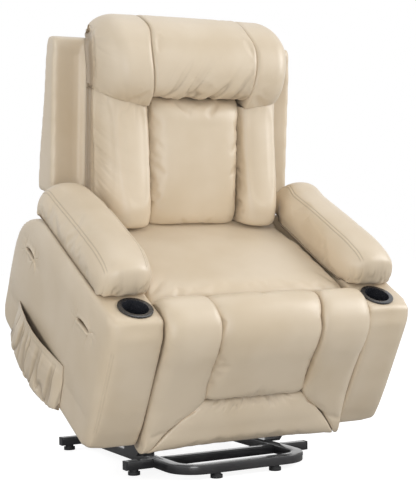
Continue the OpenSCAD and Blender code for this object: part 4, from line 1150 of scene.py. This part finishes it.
@dataclass
class Arm:
    """One arm: its leather cover, armrest pad and side pocket."""

    side: Side
    inside: float = 316.0
    outside: float = 461.0
    top: float = 463.0
    nose: float = -323.0
    back: float = 166.0
    rise: float = 110.0
    seam: float = 449.0
    fullness: float = 6.5           # how far the outer side swells
    full_z: tuple[Slope, Slope] = ((150, 90), (452, -70))      # where it does, by height
    full_y: tuple[Slope, Slope] = ((-432, 120), (282, -90))    # and along the arm
    seam_z: tuple[Slope, Slope] = ((124, 10), (380, -8))       # how high the front seam runs
    voxel: float = 0.006            # size of the cover's grain before it is smoothed, m
    turns: tuple[int, int] = (9, 44)    # rounds of smoothing: all over, and along the outer front corner
    pocket_front: float = -208.0
    pocket_long: float = 364.0
    tucks: tuple[tuple[tuple[tuple[float, float], tuple[float, float]], int], ...] = (
        (((-315, 366), (-229, 358)), 3), (((105, 346), (174, 345)), 8))

    def pad(self) -> Cushion:
        """Thick armrest pad that wraps down at its nose."""
        z, n, b, h = self.top + 0.5, self.nose, self.back, self.rise
        rest = [(n + 50, z), (n + 52, z), (n + 54, z), (n + 58, z), (n + 64, z), (n + 76, z),
                (n + 110, z), (n + 200, z), (n + 320, z), (n + 396, z), (b - 50, z), (b - 30, z), (b - 22, z)]
        face = [(n + 20, z + 3), (n + 4, z + 18), (n, z + 42), (n + 2, z + 66), (n + 12, z + 90),
                (n + 34, z + h - 8), (n + 74, z + h), (n + 190, z + h - 1), (n + 320, z + h - 6),
                (n + 400, z + h - 9), (b - 14, z + h - 13), (b + 5, z + h - 30), (b + 7, z + h * 0.08)]
        hang = [2, 3, 6, 10, 14, 18, 24, 28, 28, 28, 9]
        inner = [self.inside - hang[min(i, len(hang) - 1)] for i in range(len(rest))]
        outer = [self.outside + (i - 6 if i < 7 else 1) for i in range(len(rest))]
        return Cushion(f"armrest_{self.side.word}", rows_of(rest, face, inner, outer), power=(2.3, 2.3),
                       drops=(0.5, 0.3, 1.1, 0.96), ends=(14, 14), mirrored=self.side is Side.RIGHT,
                       walls=3.4, tuck=(14.0, 7.0), seams=(Seam(72, (-4.0, 4.0), 1.0, True, start=96),
                                                Seam(-104, (-4.0, 4.0), 1.0, True, start=96)),
                       gathers=(Gather(Edge.START, 6.0, 64, 14, 13 + self.side.value),
                                Gather(Edge.OUTER, 1.6, 44, 34, 17), Gather(Edge.INNER, 1.6, 44, 34, 19)))

    def bulge(self, y: np.ndarray, z: np.ndarray) -> np.ndarray:
        """How far the padding pushes the outer side out at a place, in millimetres."""
        tall, long = between(z, *self.full_z), between(y, *self.full_y)
        swell = self.fullness * (tall * (2 - tall)) * (long * (2 - long))
        return swell + 0.7 * wander(y / 90, z / 70, 5) * tall * long

    def tuck(self, y: np.ndarray, z: np.ndarray, ends: tuple[tuple[float, float], tuple[float, float]],
             seed: int) -> tuple[np.ndarray, np.ndarray]:
        """A sewn tuck between two places of the outer side.

        Args:
            y: places along the arm, mm.
            z: heights, mm.
            ends: front end and rear end of the tuck, as y and z.
            seed: seed of its creases.

        Returns:
            How far it pushes the leather out, in mm, and how deep in shadow each place lies.
        """
        (y0, z0), (y1, z1) = ends
        long = math.hypot(y1 - y0, z1 - z0)
        ay, az = (y1 - y0) / long, (z1 - z0) / long
        run = ((y - y0) * ay + (z - z0) * az) / long
        off = (z - z0) * ay - (y - y0) * az - 5.0 * np.sin(math.pi * np.clip(run, 0, 1))
        arch = np.sqrt(np.clip(4 * run * (1 - run), 0, 1))
        inside = (run > -0.3) & (run < 1.3)
        lens = np.exp(-((off / (1.4 + 2.8 * arch)) ** 2)) * np.clip(arch * 1.3, 0, 1) * inside
        lip = np.exp(-(((off + 9) / 6) ** 2)) * arch
        push = 3.2 * lip + 1.4 * np.exp(-(((off - 9) / 6) ** 2)) * arch - 12.0 * lens
        for place, strength in ((ends[0], 1.0), (ends[1], 0.55)):
            away = np.hypot(y - place[0], z - place[1])
            turn = np.arctan2(z - place[1], y - place[0])
            ray = np.maximum(0.0, 1 - np.abs(wander(turn * 2.1 + 9, away / 60, seed)) * 3.2) ** 1.5
            push = push - strength * 4.6 * ray * np.clip(away / 8, 0, 1) * np.exp(-((away / 30) ** 1.6))
        return push, np.clip(lens * 1.5, 0, 1)

    def cover(self, kit: Wardrobe) -> bpy.types.Object:
        """Upholstered arm body, softened from the frame's own cover, with its tucks and front seam."""
        node = f"{self.side.word}_arm_cover"
        made = node_copy(node, f"arm_body_{self.side.word}")
        settle(made, "REMESH", mode="VOXEL", voxel_size=self.voxel)
        settle(made, "SMOOTH", factor=0.5, iterations=self.turns[0])
        made.data.transform(STAND.inverted())
        corner = numbers_of(made) / MM
        weight = ramp(np.abs(corner[:, 0]), 412, 22) * ramp(corner[:, 1], -382, -18)
        group = made.vertex_groups.new(name="corner")
        for place in np.nonzero(weight > 0.02)[0].tolist():
            group.add([place], float(weight[place]), "REPLACE")
        settle(made, "SMOOTH", factor=0.5, iterations=self.turns[1], vertex_group="corner")
        made.vertex_groups.clear()
        sign = self.side.value
        self.divide(made, lambda p: abs(p.x * sign - self.outside * MM) < 0.009 and any(
            abs(p.y * 1000 - y) < 78 and abs(p.z * 1000 - z) < 44 for y, z in ((-264, 364), (140, 346))))
        self.divide(made, lambda p: p.y < -0.41 and abs(p.x * sign - self.seam * MM) < 0.012
                    and 0.12 < p.z < 0.385)
        places, away = numbers_of(made) / MM, numbers_of(made, "normal")
        x, y, z = places[:, 0] * sign, places[:, 1], places[:, 2]
        side = ramp(away[:, 0] * sign, 0.5, 0.4) * (x > self.outside - 14)
        # dark is painted shade: in the tucks, in the front seam's grooves and inside the pocket
        push, dark = np.zeros(len(x)), np.zeros(len(x))
        for ends, seed in self.tucks:
            more, deep = self.tuck(y, z, ends, seed)
            push, dark = push + more, np.maximum(dark, deep * side)
        push = (push + self.bulge(y, z)) * side
        face = ramp(-away[:, 1], 0.4, 0.3) * (y < -400)
        for row in (-2.6, 2.6):
            line = np.exp(-(((x - self.seam - row) / NOTCH) ** 2)) * face
            line *= between(z, *self.seam_z)
            push, dark = push - 0.6 * line, np.maximum(dark, 0.14 * line)
        # Painted shade on the arm side inside the pocket
        front = (y - self.pocket_front) / self.pocket_long
        behind = between(front, (0, 1 / 12), (1, -1 / 12)) * ramp(z, 184, -10) * (z > 46) * side
        dark = np.maximum(dark, 0.75 * behind)
        put_coords(made, (places + away * push[:, None]) * MM)
        mark(made, "painted_shade", dark)
        made.data.transform(STAND)
        smooth(made, 60.0)
        made.data.materials.append(kit.leather)
        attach(made, "carriage")
        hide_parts(node)
        log.info("arm %s: %d faces", made.name, len(made.data.polygons))
        return made

    def divide(self, piece: bpy.types.Object, within: Callable[[Vector], bool]) -> None:
        """Cut the faces of a piece finer where within is true of a vertex."""
        with opened(piece) as work:
            chosen = {v.index for v in work.verts if within(v.co)}
            edges = [e for e in work.edges if e.verts[0].index in chosen and e.verts[1].index in chosen]
            bmesh.ops.subdivide_edges(work, edges=edges, cuts=3, use_grid_fill=True)
            bmesh.ops.triangulate(work, faces=[f for f in work.faces if len(f.verts) > 4])

    def pocket(self, kit: Wardrobe) -> bpy.types.Object:
        """Gathered side pocket, open at its top, sewn to the arm along its ends and bottom."""
        s, t = np.linspace(0, 1, 181)[:, None], np.linspace(0, 1, 73)[None, :]
        start = self.pocket_front + self.pocket_long * s

        def read(places: tuple[float, ...], values: tuple[float, ...]) -> np.ndarray:
            """A line along the pocket, through values at places."""
            return np.interp(start[:, 0], places, values)[:, None]

        mouth_z = read((-208, -148, -73, 8, 92, 157), (193, 186.5, 181.3, 183, 182.7, 178.5))
        mouth_off = read((-208, -146, -102, -60, -16, 37, 100, 156), (0, 5.6, 10.5, 16, 20, 18.5, 11, 0))
        mouth_off = mouth_off + (2.5 if self.side is Side.LEFT else 0) * np.sin(math.pi * s)
        low_z = read((-208, -170, -122, -88, -35, 22, 70, 156), (62, 44, 37, 32, 28, 29, 38, 52))
        wide = (1 - np.abs(2 * s - 1) ** 3.2) ** 0.8
        keys = np.array([(0.0, 0.14), (0.55, -0.01), (0.9, 0.03), (1.04, 0.16), (1.02, 0.4), (0.9, 0.68),
                         (0.0, 1.0)])
        spots = np.linspace(0, 1, len(keys))
        shape = through(spots, keys, t[0])
        out, rise = shape[None, :, 0], shape[None, :, 1]
        top = ramp(t, 5 / 6, 1 / 6)
        top = top * top * (3 - 2 * top)
        out = np.where(t > 5 / 6, 0.9 * (1 - top), out) * 27.5 * wide + top * mouth_off
        z = low_z + (mouth_z - low_z) * np.clip(rise, -0.05, 1)
        y = start + (mouth_z - z) * (0.12 * (s - 1) + 0.2 * s)
        fold = wander(s * 13 + 0.6 * t, t * 1.1, 21 + self.side.value) + 0.3 * wander(s * 34, t * 2.1, 31)
        press = 2.6 * fold - 7.5 * np.maximum(0, 1 - np.abs(fold) * 3.0) ** 1.3
        body = between(t, (0.12, 0.2), (0.97, -0.14))
        hem = 0.7 * ramp(t, 0.93, 0.01) - 0.9 * np.exp(-(((t - 0.925) / 0.008) ** 2))
        out = out + (press * body + hem) * np.clip(wide * 1.6, 0, 1)
        out = np.maximum(out, 0) + 2.6 + self.bulge(y, z)
        points = np.stack([(self.outside - 0.4 + out) * self.side.value, y, z], axis=2).reshape(-1, 3)
        quads = quads_of(np.arange(s.size * t.size).reshape(s.size, t.size))
        quads = quads if self.side is Side.LEFT else quads[:, ::-1]
        name = f"side_pocket_{self.side.word}"
        made = from_mesh(name, points * MM, quads.tolist())
        settle(made, "SOLIDIFY", thickness=0.0022, offset=-1.0)
        # Painted shade in the gathers' creases, and on the pocket's inner face all over
        dark = np.clip(-press * body * 0.07, 0, 0.35).reshape(-1)
        mark(made, "painted_shade", np.concatenate([dark, np.full(len(made.data.vertices) - len(dark), 0.8)]))
        made.data.transform(STAND)
        smooth(made, 60.0)
        made.data.materials.append(kit.leather)
        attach(made, "carriage")
        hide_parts(f"{self.side.word}_pocket")
        log.info("pocket %s: %d faces", name, len(made.data.polygons))
        return made

    def dress(self, kit: Wardrobe) -> None:
        """Make the arm's soft pieces."""
        self.cover(kit)
        self.pocket(kit)
        self.pad().finish(kit, "carriage", f"{self.side.word}_armrest_pad", 0.9)


# ---------------------------------------------------------------- steel, wood and plastic


@dataclass
class Hardware:
    """The frame's own nodes, each given its finish, and eased copies of those that show."""

    eased: tuple[tuple[str, str, float], ...] = (
        ("base_loop_rails", "base", 2.6), ("base_front_cross", "base", 2.2), ("base_rear_cross", "base", 2.2),
        ("base_tube_caps", "base", 1.2), ("base_feet", "base", 1.2), ("right_cup_holder", "carriage", 1.4),
        ("left_cup_holder", "carriage", 1.4))

    def dress(self, kit: Wardrobe) -> None:
        """Give every node its finish, and round the edges of those that show."""
        slots = {p["node"]: p["material_slot"] for p in frame["record"]["subparts"]}
        for name, shown in frame["nodes"].items():
            shown.data.materials.clear()
            shown.data.materials.append(kit.by_slot(slots[name]))
        for node, body, radius in self.eased:
            made = node_copy(node, node + "_eased")
            settle(made, "BEVEL", width=radius * MM, segments=3, limit_method="ANGLE",
                   angle_limit=math.radians(40))
            smooth(made, 35.0)
            made.data.materials.append(kit.by_slot(slots[node]))
            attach(made, body)
            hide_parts(node)
            log.info("eased %s: %d faces", node, len(made.data.polygons))


# ---------------------------------------------------------------- studio


@dataclass
class Studio:
    """Pale floor, soft lights and the camera."""

    focal: float = 1291.6225    # in rows of the render
    rows: float = 485.0
    sensor: float = 36.0        # mm
    glow: float = 0.47          # strength of the white world
    middle: tuple[float, float, float] = (0.0, 0.0, 0.6)    # what the lamps face
    azimuth: float = 28.560949
    elevation: float = 1.177660
    roll: float = -0.933242
    place: tuple[float, float, float] = (-1.7736984, -3.2912307, 0.7097874)
    lamps: tuple[tuple[str, tuple[float, float, float], float, float], ...] = (
        ("key_lamp", (3.7, -1.9, 2.4), 2.2, 106), ("fill_lamp", (-1.6, -3.3, 0.45), 1.6, 52),
        ("side_lamp", (-3.6, -0.7, 1.5), 2.4, 30), ("top_lamp", (0.4, 0.2, 3.8), 2.6, 20))

    def camera(self) -> None:
        """Set the camera from its place and angles."""
        a, e, r = (math.radians(v) for v in (self.azimuth, self.elevation, self.roll))
        right = Vector((math.cos(a), -math.sin(a), 0.0))
        behind = Vector((-math.sin(a) * math.cos(e), -math.cos(a) * math.cos(e), math.sin(e)))
        up = behind.cross(right)
        right, up = right * math.cos(r) + up * math.sin(r), up * math.cos(r) - right * math.sin(r)
        lens = bpy.data.cameras.new("camera")
        lens.sensor_fit = "VERTICAL"
        lens.sensor_height = self.sensor
        lens.lens = self.focal / self.rows * self.sensor
        lens.clip_end = 50.0
        made = placed("camera", lens)
        axes = zip(right, up, behind, self.place)
        made.matrix_world = Matrix((*axes, (0, 0, 0, 1)))
        bpy.context.scene.camera = made

    def lamp(self, name: str, place: tuple[float, float, float], size: float, power: float) -> None:
        """One soft square lamp that faces the chair."""
        data = bpy.data.lights.new(name, "AREA")
        data.shape = "SQUARE"
        data.size = size
        data.energy = power
        spot = Vector(place)
        turn = (Vector(self.middle) - spot).to_track_quat("-Z", "Y").to_matrix().to_4x4()
        placed(name, data).matrix_world = Matrix.Translation(spot) @ turn

    def backdrop(self) -> None:
        """White floor that keeps the shadow, and a white world."""
        deselect()
        bpy.ops.mesh.primitive_plane_add(size=24.0, location=(0, 0, -0.0005))
        floor = bpy.context.object
        floor.name = "floor"
        s = Shader("white_floor")
        s.feed("Base Color", s.ramp(s.noise(2.0), [(0.3, (0.42, 0.42, 0.42)), (0.7, (0.44, 0.44, 0.44))]))
        s.feed("Roughness", 0.9)
        s.feed("Specular IOR Level", 0.1)
        path = s.node("LightPath")
        glow = s.node("Emission", {"Color": (1, 1, 1, 1), "Strength": 0.86})
        both = s.node("AddShader", {0: glow.outputs[0], 1: s.bsdf.outputs[0]})
        mix = s.node("MixShader", {"Fac": path.outputs["Is Camera Ray"], 1: s.bsdf.outputs[0],
                                   2: both.outputs[0]})
        s.tree.links.new(mix.outputs[0], s.tree.nodes["Material Output"].inputs["Surface"])
        floor.data.materials.append(s.material)
        world = bpy.data.worlds.new("white_world")
        bpy.context.scene.world = world
        world.use_nodes = True
        tree = world.node_tree
        back = tree.nodes["Background"]
        back.inputs["Color"].default_value = (1, 1, 1, 1)
        back.inputs["Strength"].default_value = self.glow
        white = add_node(tree, "Background", {"Color": (1, 1, 1, 1), "Strength": 1.0})
        ray = add_node(tree, "LightPath").outputs
        high = add_node(tree, "Math", {0: ray["Is Camera Ray"], 1: ray["Is Glossy Ray"]}, operation="MAXIMUM")
        mixer = add_node(tree, "MixShader", {"Fac": high.outputs[0], 1: back.outputs[0], 2: white.outputs[0]})
        tree.links.new(mixer.outputs[0], tree.nodes["World Output"].inputs["Surface"])

    def set_up(self) -> None:
        """Build the studio."""
        self.camera()
        for name, place, size, power in self.lamps:
            self.lamp(name, place, size, power)
        self.backdrop()
        bpy.context.scene.view_settings.view_transform = "Standard"


def main() -> None:
    """Build the chair's looks in order and report each piece."""
    logging.basicConfig(level=logging.INFO, format="%(name)s: %(message)s")
    Studio().set_up()
    kit = Wardrobe()
    Hardware().dress(kit)
    Seat().dress(kit)
    Footrest().dress(kit)
    Back().dress(kit)
    for side in Side:
        Arm(side).dress(kit)


if __name__ == "__main__":
    main()
